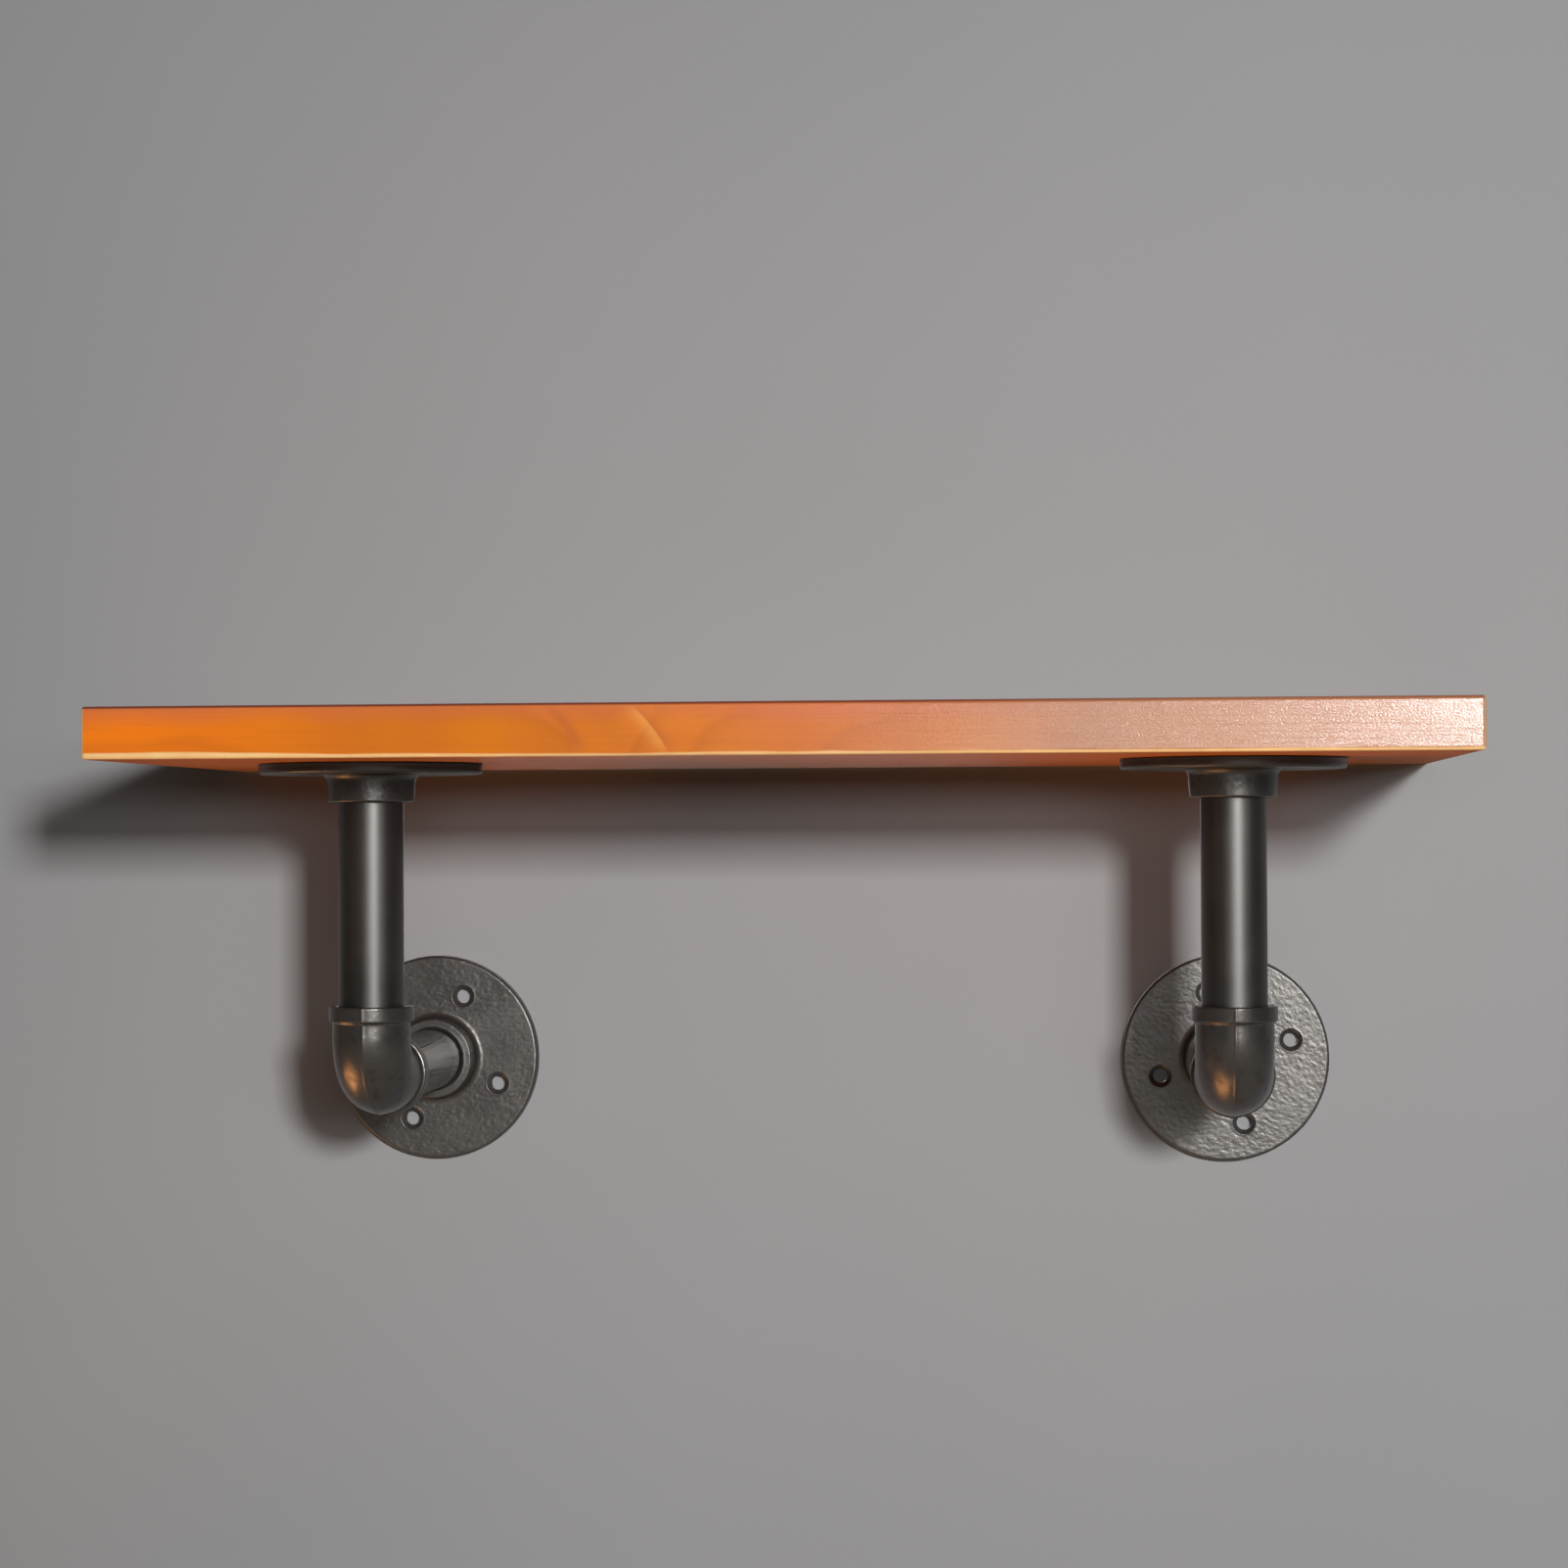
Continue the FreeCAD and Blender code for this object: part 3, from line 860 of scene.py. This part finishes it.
def paint_skin(tree, place, cloud_scale, grit_scale, grit_amount):
    """Places the group in a material with its own values, and gives its outputs."""
    group = add_node(tree, "ShaderNodeGroup", node_tree=paint, vector=place, cloud_scale=cloud_scale,
                     grit_scale=grit_scale, grit_amount=grit_amount)
    return group.outputs


print("group made:", paint.name, [s.name for s in paint.interface.items_tree])

# %% [markdown]
# ## Finish of the castings
# Flanges and elbows are grey iron under thin black paint with graphite in it, so the surface is
# partly metallic: it stays black where it faces a dark room and turns light grey where it faces a
# lamp. Paint is thinner in the pits, where a little brown shows. The board flanges get a darker copy
# of the paint, which is painted shade from the board above them. The elbows are darker than the wall
# flanges too, and the smoothest. The relief is already in the mesh, so the material only adds grit
# far too fine to model.

# %% Materials: castings
CASTING_METALLIC = 0.75
THIN_PAINT = (0.090, 0.087, 0.084)
THICK_PAINT = (0.118, 0.113, 0.108)
PIT_BROWN = (0.070, 0.060, 0.052)
DEEP_PIT = (0.55, 0.90)
PIT_DULLING = 0.10
CLOUD_DULLING = 0.05
CASTINGS = {  # lightness, roughness, and the scale and height of the grit
    "wall_flange": (1.0, 0.34, 1700.0, 0.035 * MM),
    # darker copy of the wall flanges' paint: painted shade from the board above
    "board_flange": (0.70, 0.34, 1700.0, 0.035 * MM),
    "elbow": (0.75, 0.26, 1100.0, 0.012 * MM),
}


def casting_material(name, lightness, roughness, grit_scale, grit_height):
    """Black graphite paint on cast iron, browner and duller in its pits."""
    material, tree, shader, place = new_material(name, metallic=CASTING_METALLIC)
    skin = paint_skin(tree, place, cloud_scale=55.0, grit_scale=grit_scale, grit_amount=1.0)
    deep = remap(tree, point_value(tree, "pit"), *DEEP_PIT)
    thin, thick = shaded(THIN_PAINT, lightness), shaded(THICK_PAINT, lightness)
    colour = blend_colour(tree, skin["Cloud"], thin, thick)
    colour = blend_colour(tree, deep, colour, shaded(PIT_BROWN, lightness))
    dull = times_plus(tree, deep, PIT_DULLING, roughness)
    dull = times_plus(tree, skin["Cloud"], CLOUD_DULLING, dull)
    finish_shader(tree, shader, colour, dull, skin["Height"], grit_height)
    return material


casting_paints = {kind: casting_material(f"{kind}_paint", *look) for kind, look in CASTINGS.items()}
for node, skin in skins.items():
    kind = node.split("_", 1)[1]
    skin.data.materials.append(casting_paints[kind])
print("castings painted:", len(skins))

# %% [markdown]
# ## Finish of the pipes
# The pipes are black iron tube: the mill scale left by rolling is a dark, smooth skin that shines
# like dull metal. Drawing and wiping leave faint lines along the tube, so the clouds of the group
# are joined by a second, stretched noise that runs along the pipe's own axis. Upright and level
# pipes need their own copy, because the lines follow the axis. The level ones are also smoother, and
# lighter as a painted reflection: the lighter scale brightens what they mirror.

# %% Materials: pipes
LINE_SCALE = 420.0
ALONG_SCALE = 9.0
DARK_SCALE = (0.068, 0.066, 0.064)
PALE_SCALE = (0.090, 0.087, 0.085)
DRAWN_LINE = (0.102, 0.099, 0.096)
LINE_RANGE = (0.45, 0.75)
LINE_SHOWS = 0.5
LINE_DULLING = 0.06
LINE_HEIGHT = 0.8
PIPE_BUMP = 0.012 * MM
PIPE_LOOKS = {  # the material's name, the pipe's axis, lightness and roughness
    "riser": ("pipe_scale_upright", "Z", 1.0, 0.37),
    # lighter copy of the same scale: painted reflection
    "wall": ("pipe_scale_level", "Y", 1.6, 0.12),
}


def pipe_material(name, axis, lightness, roughness):
    """Dark metallic scale with faint lines along one axis."""
    material, tree, shader, place = new_material(name, metallic=1.0)
    skin = paint_skin(tree, place, cloud_scale=32.0, grit_scale=1300.0, grit_amount=0.6)
    scale = [ALONG_SCALE if letter == axis else LINE_SCALE for letter in "XYZ"]
    lines = noise_node(tree, stretched(tree, place, scale), 1.0)
    dark, pale = shaded(DARK_SCALE, lightness), shaded(PALE_SCALE, lightness)
    colour = blend_colour(tree, skin["Cloud"], dark, pale)
    line_share = remap(tree, lines, *LINE_RANGE, 0.0, LINE_SHOWS)
    colour = blend_colour(tree, line_share, colour, shaded(DRAWN_LINE, lightness))
    dull = times_plus(tree, skin["Cloud"], CLOUD_DULLING, roughness)
    dull = times_plus(tree, lines, LINE_DULLING, dull)
    height = times_plus(tree, lines, LINE_HEIGHT, skin["Height"])
    finish_shader(tree, shader, colour, dull, height, PIPE_BUMP)
    return material


pipe_scales = {kind: pipe_material(*look) for kind, look in PIPE_LOOKS.items()}
pipes = [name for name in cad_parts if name.endswith("_pipe")]
for name in pipes:
    kind = name.split("_")[1]
    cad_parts[name].material_slots[0].material = pipe_scales[kind]
print("pipes finished:", pipes)

# %% [markdown]
# The screws keep the uneven black that phosphating leaves on steel, more patchy than the paint.

# %% Material: screws
DARK_PHOSPHATE = (0.070, 0.068, 0.066)
PALE_PHOSPHATE = (0.13, 0.125, 0.12)
PHOSPHATE_METALLIC = 0.8
PHOSPHATE_ROUGHNESS = 0.35
PHOSPHATE_DULLING = 0.15
PHOSPHATE_BUMP = 0.02 * MM


def screw_material():
    """Black phosphated steel: dark and slightly metallic."""
    material, tree, shader, place = new_material("screw_phosphate", PHOSPHATE_METALLIC)
    skin = paint_skin(tree, place, cloud_scale=300.0, grit_scale=2600.0, grit_amount=0.8)
    colour = blend_colour(tree, skin["Cloud"], DARK_PHOSPHATE, PALE_PHOSPHATE)
    dull = times_plus(tree, skin["Grit"], PHOSPHATE_DULLING, PHOSPHATE_ROUGHNESS)
    finish_shader(tree, shader, colour, dull, skin["Height"], PHOSPHATE_BUMP)
    return material


phosphate = screw_material()
screws = [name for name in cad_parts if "screw" in name]
for name in screws:
    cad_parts[name].material_slots[0].material = phosphate
print("screws finished:", len(screws))

# %% [markdown]
# ## Figure of the wood
# The board is softwood under orange-brown stain and satin varnish. Its figure comes from growth
# rings: tubes round the tree's centre, cut by the board's faces. A picture of planks would not agree
# at the edges, so the rings are solid: colour is a function of the distance from an axis that runs
# along the board. The axis lies behind the board and within its thickness, so the top shows long
# lines, while the front edge meets the rings face on and shows soft clouds. Slow noise bends the
# rings and makes good years wider than poor ones. Two branches through the board bend them too.

# %% Helpers: growth rings and knots
PITH = (42.0 * MM, 131.0 * MM)
RING_WIDTH = 4.2 * MM
SWAY = 42.0 * MM
SWAY_SCALE = (2.4, 6.5, 3.5)
YEARS_SCALE = (0.8, 26.0, 26.0)
FIBRE_SCALE = (14.0, 620.0, 620.0)
WOBBLE_SCALE = 6.0
WOBBLE_RINGS = 0.9
GOOD_YEARS_RINGS = 5.0
LATE_WOOD_RISE = (0.25, 0.86)
LATE_WOOD_DROP = (1.0, 0.88)
KNOTS = ((-62.0 * MM, -214.0 * MM, 3.6 * MM), (148.0 * MM, -64.0 * MM, 6.0 * MM))
KNOT_LENGTHEN = 0.6
KNOT_REACH = 2.0
KNOT_PUSH = 3.2
KNOT_EDGE = (0.75, 0.45)


def split(tree, kind, vector):
    """The three numbers of a vector or colour."""
    node = tree.nodes.new(kind)
    feed(tree, vector, node.inputs[0])
    return tuple(node.outputs)


def distance(tree, first, second):
    """Square root of first squared plus second squared."""
    return math_node(tree, "SQRT", times_plus(tree, first, first, times(tree, second, second)))


def round_knots(tree, x, y, radius):
    """Distance from the pith, pushed out near each knot, and a mask of the knots themselves.

    The push is a multiple of the knot's radius, times e to the power of minus the distance divided by
    the knot's reach.
    """
    knot_mask = 0.0
    for knot_x, knot_y, knot_r in KNOTS:
        along = times(tree, plus(tree, x, -knot_x), KNOT_LENGTHEN)
        away = distance(tree, along, plus(tree, y, -knot_y))
        near = math_node(tree, "EXPONENT", math_node(tree, "DIVIDE", away, -knot_r * KNOT_REACH))
        radius = times_plus(tree, near, KNOT_PUSH * knot_r, radius)
        inside = remap(tree, away, *(knot_r * share for share in KNOT_EDGE))
        knot_mask = math_node(tree, "MAXIMUM", knot_mask, inside)
    return radius, knot_mask


def wood_figure(tree, place):
    """Ring mask (0 in early wood, 1 in late wood), knot mask and fibre mask, as sockets.

    A place's number of rings is its distance from the pith divided by the ring width, plus noise.
    Through each ring the mask rises as the square of an even ramp, then drops evenly and fast.
    """
    x, y, z = split(tree, "ShaderNodeSeparateXYZ", place)
    slow = stretched(tree, place, SWAY_SCALE)
    sway = add_node(tree, "ShaderNodeTexNoise", vector=slow, scale=1.0, detail=3.0, roughness=0.5)
    sway_parts = split(tree, "ShaderNodeSeparateColor", sway.outputs["Color"])
    from_pith = [times_plus(tree, plus(tree, shift, -0.5), SWAY, plus(tree, part, -pith))
                 for part, pith, shift in zip((y, z), PITH, sway_parts)]
    radius, knots = round_knots(tree, x, y, distance(tree, *from_pith))
    turns = math_node(tree, "DIVIDE", radius, RING_WIDTH)
    turns = times_plus(tree, noise_node(tree, slow, WOBBLE_SCALE), WOBBLE_RINGS, turns)
    years = noise_node(tree, stretched(tree, place, YEARS_SCALE), 1.0, detail=1.0)
    turns = times_plus(tree, years, GOOD_YEARS_RINGS, turns)
    ring = math_node(tree, "FRACT", turns)
    rise = remap(tree, ring, *LATE_WOOD_RISE)
    late = times(tree, times(tree, rise, rise), remap(tree, ring, *LATE_WOOD_DROP))
    fibre = noise_node(tree, stretched(tree, place, FIBRE_SCALE), 1.0, detail=3.0, roughness=0.6)
    return late, knots, fibre


print("ring width, mm:", round(RING_WIDTH / MM, 1), "knots:", len(KNOTS))

# %% [markdown]
# ## Stain and varnish, with painted sheen and shade
# Stain doesn't take evenly. It is thin at the left end of the front edge and pinker near the edge's
# top. On the edge's right part the colour is duller and less orange, a painted sheen wash. Beside the
# small knot a resin streak leans across the edge and took little stain: it is soft on its left side,
# and sharp on its right, where a thin dark painted shadow follows it. A darker curl lies on the knot's
# other side. Lower and end arrises are rubbed through to pale wood, and along the top arris the colour
# is darker in a thin line. The underside has stain but little varnish, so it gets a copy of the
# material that reflects less. Its lighter colour is partly painted bounce light from below.

# %% Helper: a leaning streak
FRONT_Y = board_low.y
BOTTOM_Z = board_low.z
STREAKS = {  # place along the board, lean, width to the left, width to the right
    "curl": (-75.0 * MM, 0.62, 2.6 * MM, 2.6 * MM),
    # painted shadow beside the resin streak
    "shade": (-43.2 * MM, 0.75, 0.5 * MM, 3.0 * MM),
    "resin": (-43.9 * MM, 0.75, 3.6 * MM, 0.5 * MM),
}
STREAK_Z = 136.0 * MM
STREAK_BEND = 14.0
STREAK_FADE = (9.5 * MM, 5.0 * MM)
STREAK_DEPTH = (FRONT_Y + 12.0 * MM, FRONT_Y + 1.0 * MM)


def leaning_streak(tree, x, y, z, place_x, lean, left_width, right_width):
    """Mask 1 on a leaning line of the front edge. It fades above, below and behind.

    The distance from the line is divided by the width. The mask is e to the power of minus the
    square of that. The line leans in proportion to height, and bends with the height's square.
    """
    height = plus(tree, z, -STREAK_Z)
    side = times_plus(tree, height, lean, plus(tree, x, -place_x))
    side = plus(tree, side, times(tree, times(tree, height, height), STREAK_BEND))
    to_left = math_node(tree, "DIVIDE", side, -left_width)
    to_right = math_node(tree, "DIVIDE", side, right_width)
    away = math_node(tree, "MAXIMUM", to_left, to_right)
    on_line = math_node(tree, "EXPONENT", times(tree, times(tree, away, away), -1.0))
    in_height = remap(tree, math_node(tree, "ABSOLUTE", height), *STREAK_FADE)
    return times(tree, on_line, times(tree, remap(tree, y, *STREAK_DEPTH), in_height))


print("streaks:", {name: round(values[0] / MM, 1) for name, values in STREAKS.items()})

# %% Material: stain layers under varnish
GOLDEN = (0.70, 0.195, 0.008)
RUSSET = (0.60, 0.152, 0.012)
STAINS = {  # colour of each layer, and how much of it shows where its mask is 1
    "thin": ((0.95, 0.215, 0.006), 0.9),
    # lighter underside: less varnish, and partly painted bounce light from below
    "unvarnished_bounce_lit": ((0.86, 0.33, 0.075), 0.75),
    "late wood": ((0.36, 0.080, 0.010), 1.0),
    "fibre": ((0.46, 0.115, 0.014), 0.30),
    "knot": ((0.30, 0.070, 0.010), 0.5),
    "pinker_top": ((0.60, 0.150, 0.055), 0.75),
    "curl": ((0.45, 0.100, 0.030), 0.45),
    # painted shadow beside the resin streak
    "shade": ((0.45, 0.100, 0.030), 0.35),
    "resin": ((0.88, 0.42, 0.10), 0.42),
    # painted sheen wash on the right part of the front edge
    "sheen_wash": ((0.36, 0.170, 0.095), 0.8),
    "rubbed": ((0.95, 0.62, 0.27), 1.0),
    "darker_top_arris": ((0.15, 0.025, 0.012), 0.9),
}
ON_FRONT = (FRONT_Y + 1.9 * MM, FRONT_Y + 0.7 * MM)
BY_FRONT = (FRONT_Y + 9.0 * MM, FRONT_Y + 2.0 * MM)
THIN_X = (-150.0 * MM, -240.0 * MM)
# where the painted sheen wash rises along the front edge
SHEEN_WASH_X = (15.0 * MM, 115.0 * MM)
PINKER_TOP_Z = (139.5 * MM, 147.0 * MM)
PATCH_SCALE = 11.0
PATCH_RANGE = (0.38, 0.62)
PATCHES_SHIFT_Z = 3.0 * MM
RINGS_SHOW = 0.70
RINGS_HIDDEN_IN_FRONT = 0.48
FIBRE_RANGE = (0.50, 0.78)
RUBBED_SCALE = 60.0
RUBBED_RANGE = (0.3, 0.6)
RUBBED_SHARE = (0.75, 1.0)
RUBBED_WAVE_SCALE = 9.0
RUBBED_HEIGHT = 2.4 * MM
MORE_RUBBED = 1.1 * MM
MORE_RUBBED_X = (-165.0 * MM, -215.0 * MM)
RUBBED_BLUR = 0.35 * MM
GRAIN_SCALE = (1300.0, 2000.0, 2000.0)
GRAIN_RANGE = (0.3, 0.7)
VARNISH_ROUGHNESS = (0.11, 0.20)
UNVARNISHED_DULLING = 0.40
FIBRE_HEIGHT = 0.7
RING_HEIGHT = 0.5
BOARD_BUMP = 0.075 * MM
UNDERSIDE_NORMAL_Z = -0.9


def rubbed_line(tree, place, x, z):
    """Mask of a wavy rubbed strip along the bottom of the front edge, wider at the left end."""
    wave = noise_node(tree, place, RUBBED_WAVE_SCALE, detail=4.0, roughness=0.6)
    top = times_plus(tree, wave, RUBBED_HEIGHT, BOTTOM_Z)
    top = plus(tree, top, remap(tree, x, *MORE_RUBBED_X, 0.0, MORE_RUBBED))
    return remap(tree, math_node(tree, "SUBTRACT", top, z), -RUBBED_BLUR, RUBBED_BLUR)


def board_material(name, specular):
    """Orange-brown stain and satin varnish over the wood's figure. Less varnish reflects less."""
    material, tree, shader, place = new_material(name, specular=specular)
    late, knots, fibre = wood_figure(tree, place)
    x, y, z = split(tree, "ShaderNodeSeparateXYZ", place)
    bare = point_value(tree, "bare")
    front = remap(tree, y, *ON_FRONT)
    patches = remap(tree, noise_node(tree, place, PATCH_SCALE), *PATCH_RANGE)
    pinker_top = remap(tree, times_plus(tree, patches, PATCHES_SHIFT_Z, z), *PINKER_TOP_Z)
    rubbed_strip = times(tree, rubbed_line(tree, place, x, z), front)
    rubbed = math_node(tree, "MAXIMUM", point_value(tree, "rubbed"), rubbed_strip)
    patchy = noise_node(tree, place, RUBBED_SCALE, detail=3.0)
    patchy = remap(tree, patchy, *RUBBED_RANGE, *RUBBED_SHARE)
    masks = {
        "thin": times(tree, front, remap(tree, x, *THIN_X)),
        # less varnish, and partly painted bounce light
        "unvarnished_bounce_lit": bare,
        "late wood": times(tree, late, times_plus(tree, front, -RINGS_HIDDEN_IN_FRONT, RINGS_SHOW)),
        "fibre": remap(tree, fibre, *FIBRE_RANGE),
        "knot": knots,
        "pinker_top": times(tree, pinker_top, remap(tree, y, *BY_FRONT)),
        # painted sheen wash
        "sheen_wash": times(tree, front, remap(tree, x, *SHEEN_WASH_X)),
        "rubbed": times(tree, rubbed, patchy),
        "darker_top_arris": point_value(tree, "darker_top_arris"),
    }
    for streak, values in STREAKS.items():
        masks[streak] = leaning_streak(tree, x, y, z, *values)
    colour = blend_colour(tree, patches, GOLDEN, RUSSET)
    for layer, (stain, share) in STAINS.items():
        colour = blend_colour(tree, times(tree, masks[layer], share), colour, stain)
    grain = noise_node(tree, stretched(tree, place, GRAIN_SCALE), 1.0, roughness=0.6)
    rough = remap(tree, grain, *GRAIN_RANGE, *VARNISH_ROUGHNESS)
    rough = times_plus(tree, bare, UNVARNISHED_DULLING, rough)
    height = times_plus(tree, fibre, FIBRE_HEIGHT, times(tree, late, RING_HEIGHT))
    finish_shader(tree, shader, colour, rough, plus(tree, grain, height), BOARD_BUMP)
    return material


board.materials.append(board_material("board_varnish", specular=0.58))
board.materials.append(board_material("board_underside", specular=0.12))
downward = rows_of(board.polygons, "normal")[:, 2] < UNDERSIDE_NORMAL_Z
board.polygons.foreach_set("material_index", downward.astype(np.int32))
print("faces of the underside:", int(downward.sum()))

# %% [markdown]
# ## Wall and floor
# A wall shelf is judged on a wall, so a plain pale wall and floor stand behind and below it. The
# wall's back is see-through, so the shelf can be looked at from behind. Light that bounces off a
# pale floor would fill the shelf's shadows. So the floor is pale to the camera and in reflections,
# and dark to every ray that only gathers light. The wall isn't there at all for those rays.

# %% Stage
WALL_GAP = 0.4 * MM
FLOOR_Z = -0.30
STAGE_HALF = 6.0
WALL_GREY = (0.35, 0.35, 0.355)
FLOOR_BEIGE = (0.62, 0.56, 0.49)
FLOOR_GLOW = 0.22
FLOOR_BOUNCE = 0.15
MATT_SPECULAR = 0.1
MATT_ROUGHNESS = 0.9
MOTTLE_SCALE = 3.0
MOTTLE_RANGE = (0.3, 0.7)
MOTTLE_SHADE = 0.96


def ray_masks(tree):
    """Two masks: 1 for rays from the camera, and 1 for rays off something glossy or clear."""
    rays = tree.nodes.new("ShaderNodeLightPath").outputs
    mirrored = math_node(tree, "MAXIMUM", rays["Is Glossy Ray"], rays["Is Transmission Ray"])
    return rays["Is Camera Ray"], mirrored


def seen_itself(tree):
    """1 for both kinds of ray that show a thing itself, 0 for rays that only gather light."""
    return math_node(tree, "MAXIMUM", *ray_masks(tree))


def stage_plane(name, corners, colour, see_through_back):
    """A plain matt plane that only the camera and mirror-like rays see as a wall or floor.

    With a see-through back it is clear to all other rays, and from behind. Otherwise it is dark to
    them, and glows a little to those that see it.
    """
    mesh = bpy.data.meshes.new(name)
    mesh.from_pydata(corners, [], [(0, 1, 2, 3)])
    plane = bpy.data.objects.new(name, mesh)
    bpy.context.scene.collection.objects.link(plane)
    material, tree, shader, place = new_material(f"{name}_paint", specular=MATT_SPECULAR)
    shader.inputs["Roughness"].default_value = MATT_ROUGHNESS
    mottle = remap(tree, noise_node(tree, place, MOTTLE_SCALE, detail=4.0), *MOTTLE_RANGE)
    seen_colour = blend_colour(tree, mottle, shaded(colour, MOTTLE_SHADE), colour)
    if see_through_back:
        feed(tree, seen_colour, shader.inputs["Base Color"])
        clear = tree.nodes.new("ShaderNodeBsdfTransparent")
        back = tree.nodes.new("ShaderNodeNewGeometry").outputs["Backfacing"]
        solid = times(tree, seen_itself(tree), math_node(tree, "SUBTRACT", 1.0, back))
        mix = tree.nodes.new("ShaderNodeMixShader")
        for source, socket in zip((solid, clear.outputs[0], shader.outputs[0]), mix.inputs):
            feed(tree, source, socket)
        feed(tree, mix.outputs[0], tree.get_output_node("ALL").inputs[0])
    else:
        bounce = shaded(colour, FLOOR_BOUNCE)
        both = blend_colour(tree, seen_itself(tree), bounce, seen_colour)
        feed(tree, both, shader.inputs["Base Color"])
        shader.inputs["Emission Color"].default_value = (*colour, 1.0)
        feed(tree, times(tree, seen_itself(tree), FLOOR_GLOW), shader.inputs["Emission Strength"])
    mesh.materials.append(material)


wall_corners = [(-STAGE_HALF, WALL_GAP, FLOOR_Z), (STAGE_HALF, WALL_GAP, FLOOR_Z),
                (STAGE_HALF, WALL_GAP, STAGE_HALF), (-STAGE_HALF, WALL_GAP, STAGE_HALF)]
floor_corners = [(-STAGE_HALF, -STAGE_HALF, FLOOR_Z), (STAGE_HALF, -STAGE_HALF, FLOOR_Z),
                 (STAGE_HALF, STAGE_HALF, FLOOR_Z), (-STAGE_HALF, STAGE_HALF, FLOOR_Z)]
stage_plane("wall", wall_corners, WALL_GREY, see_through_back=True)
stage_plane("floor", floor_corners, FLOOR_BEIGE, see_through_back=False)
print("wall and floor, m wide:", 2 * STAGE_HALF)

# %% [markdown]
# ## Lights
# The key is a small soft box on the right, which throws the brackets' shadows down to the left. Two
# long narrow boxes beside the camera give the varnish its sheen and the pipes their highlights. Two
# weak warm lamps near the floor stand in for light off wood below the shelf, and one lamp lights the
# back. The sky is brighter to the camera and in reflections than the light that it gives.

# %% Lights
WHITE = (1.0, 0.99, 0.98)
WOOD_BOUNCE = (1.0, 0.42, 0.13)
SHELF_MIDDLE = (0.0, -0.1, 0.05)
LAMPS = {  # place, aim, width and height, watts, colour, spread in degrees
    "key_box": ((0.74, -2.40, 0.50), (-0.1, -0.1, 0.05), (0.22, 0.22), 17.0, WHITE, 110.0),
    "sheen_box": ((0.47, -2.00, 0.235), (0.47, 0.0, 0.145), (1.14, 0.13), 1.38, WHITE, 90.0),
    "sheen_end": ((0.75, -2.00, 0.235), (0.75, 0.0, 0.145), (0.90, 0.13), 1.08, WHITE, 90.0),
    "bounce_left": ((-0.43, -0.16, -0.28), (-0.172, -0.16, 0.0), (0.28, 0.26), 0.155, WOOD_BOUNCE, 50.0),
    "bounce_middle": ((0.04, -0.18, -0.28), (0.172, -0.16, 0.0), (0.24, 0.26), 0.095, WOOD_BOUNCE, 50.0),
    "back_fill": ((-0.3, 2.2, 0.25), SHELF_MIDDLE, (0.6, 0.6), 14.0, WHITE, 180.0),
}


def soft_box(name, place, aim, size, watts, colour, spread):
    """A rectangular lamp at one place that faces another, its light kept inside spread degrees."""
    lamp = bpy.data.lights.new(name, "AREA")
    lamp.shape = "RECTANGLE"
    lamp.size, lamp.size_y = size
    lamp.energy = watts
    lamp.color = colour
    lamp.spread = math.radians(spread)
    box = bpy.data.objects.new(name, lamp)
    box.location = place
    box.rotation_mode = "QUATERNION"
    box.rotation_quaternion = (Vector(aim) - Vector(place)).to_track_quat("-Z", "Y")
    box.visible_camera = False
    bpy.context.scene.collection.objects.link(box)


for name, values in LAMPS.items():
    soft_box(name, *values)
print("lamps, W:", {name: values[3] for name, values in LAMPS.items()})

# %% Sky
SKY_COLOUR = (0.84, 0.78, 0.72)
SKY_LIGHT = 0.05
SKY_SEEN = 0.26
SKY_MIRRORED = 0.14
world = bpy.data.worlds.new("room")
world.use_nodes = True
bpy.context.scene.world = world
sky_tree = world.node_tree
sky = sky_tree.nodes["Background"]
sky.inputs["Color"].default_value = (*SKY_COLOUR, 1.0)
seen, mirrored = ray_masks(sky_tree)
strength = times_plus(sky_tree, seen, SKY_SEEN - SKY_LIGHT, SKY_LIGHT)
strength = times_plus(sky_tree, mirrored, SKY_MIRRORED - SKY_LIGHT, strength)
feed(sky_tree, strength, sky.inputs["Strength"])
print("sky, strength to the camera and as light:", SKY_SEEN, SKY_LIGHT)

# %% [markdown]
# ## Camera
# The camera stands a little right of the shelf's middle and just under the board, turned slightly to
# the left. Its frame is square, and a small sideways shift keeps the shelf in the middle.

# %% Camera
FRAME_PIXELS = 1601
SENSOR = 36.0
CAMERA_PLACE = (0.1303, -1.3756, 0.0953)
CAMERA_YAW = 0.0833
CAMERA_PITCH = 0.0171
CAMERA_ROLL = -0.0048
FOCAL_PIXELS = 3230.5
SHIFT_PIXELS = 80.0

lens = bpy.data.cameras.new("camera")
lens.sensor_width = SENSOR
lens.lens = SENSOR * FOCAL_PIXELS / FRAME_PIXELS
lens.shift_x = -SHIFT_PIXELS / FRAME_PIXELS
camera = bpy.data.objects.new("camera", lens)
turn = Matrix.Rotation(CAMERA_YAW, 4, "Z") @ Matrix.Rotation(math.pi / 2 + CAMERA_PITCH, 4, "X")
camera.matrix_world = Matrix.Translation(CAMERA_PLACE) @ turn @ Matrix.Rotation(CAMERA_ROLL, 4, "Z")
bpy.context.scene.collection.objects.link(camera)
bpy.context.scene.camera = camera
bpy.context.scene.view_settings.view_transform = "Standard"
print("lens, mm:", round(lens.lens, 1))
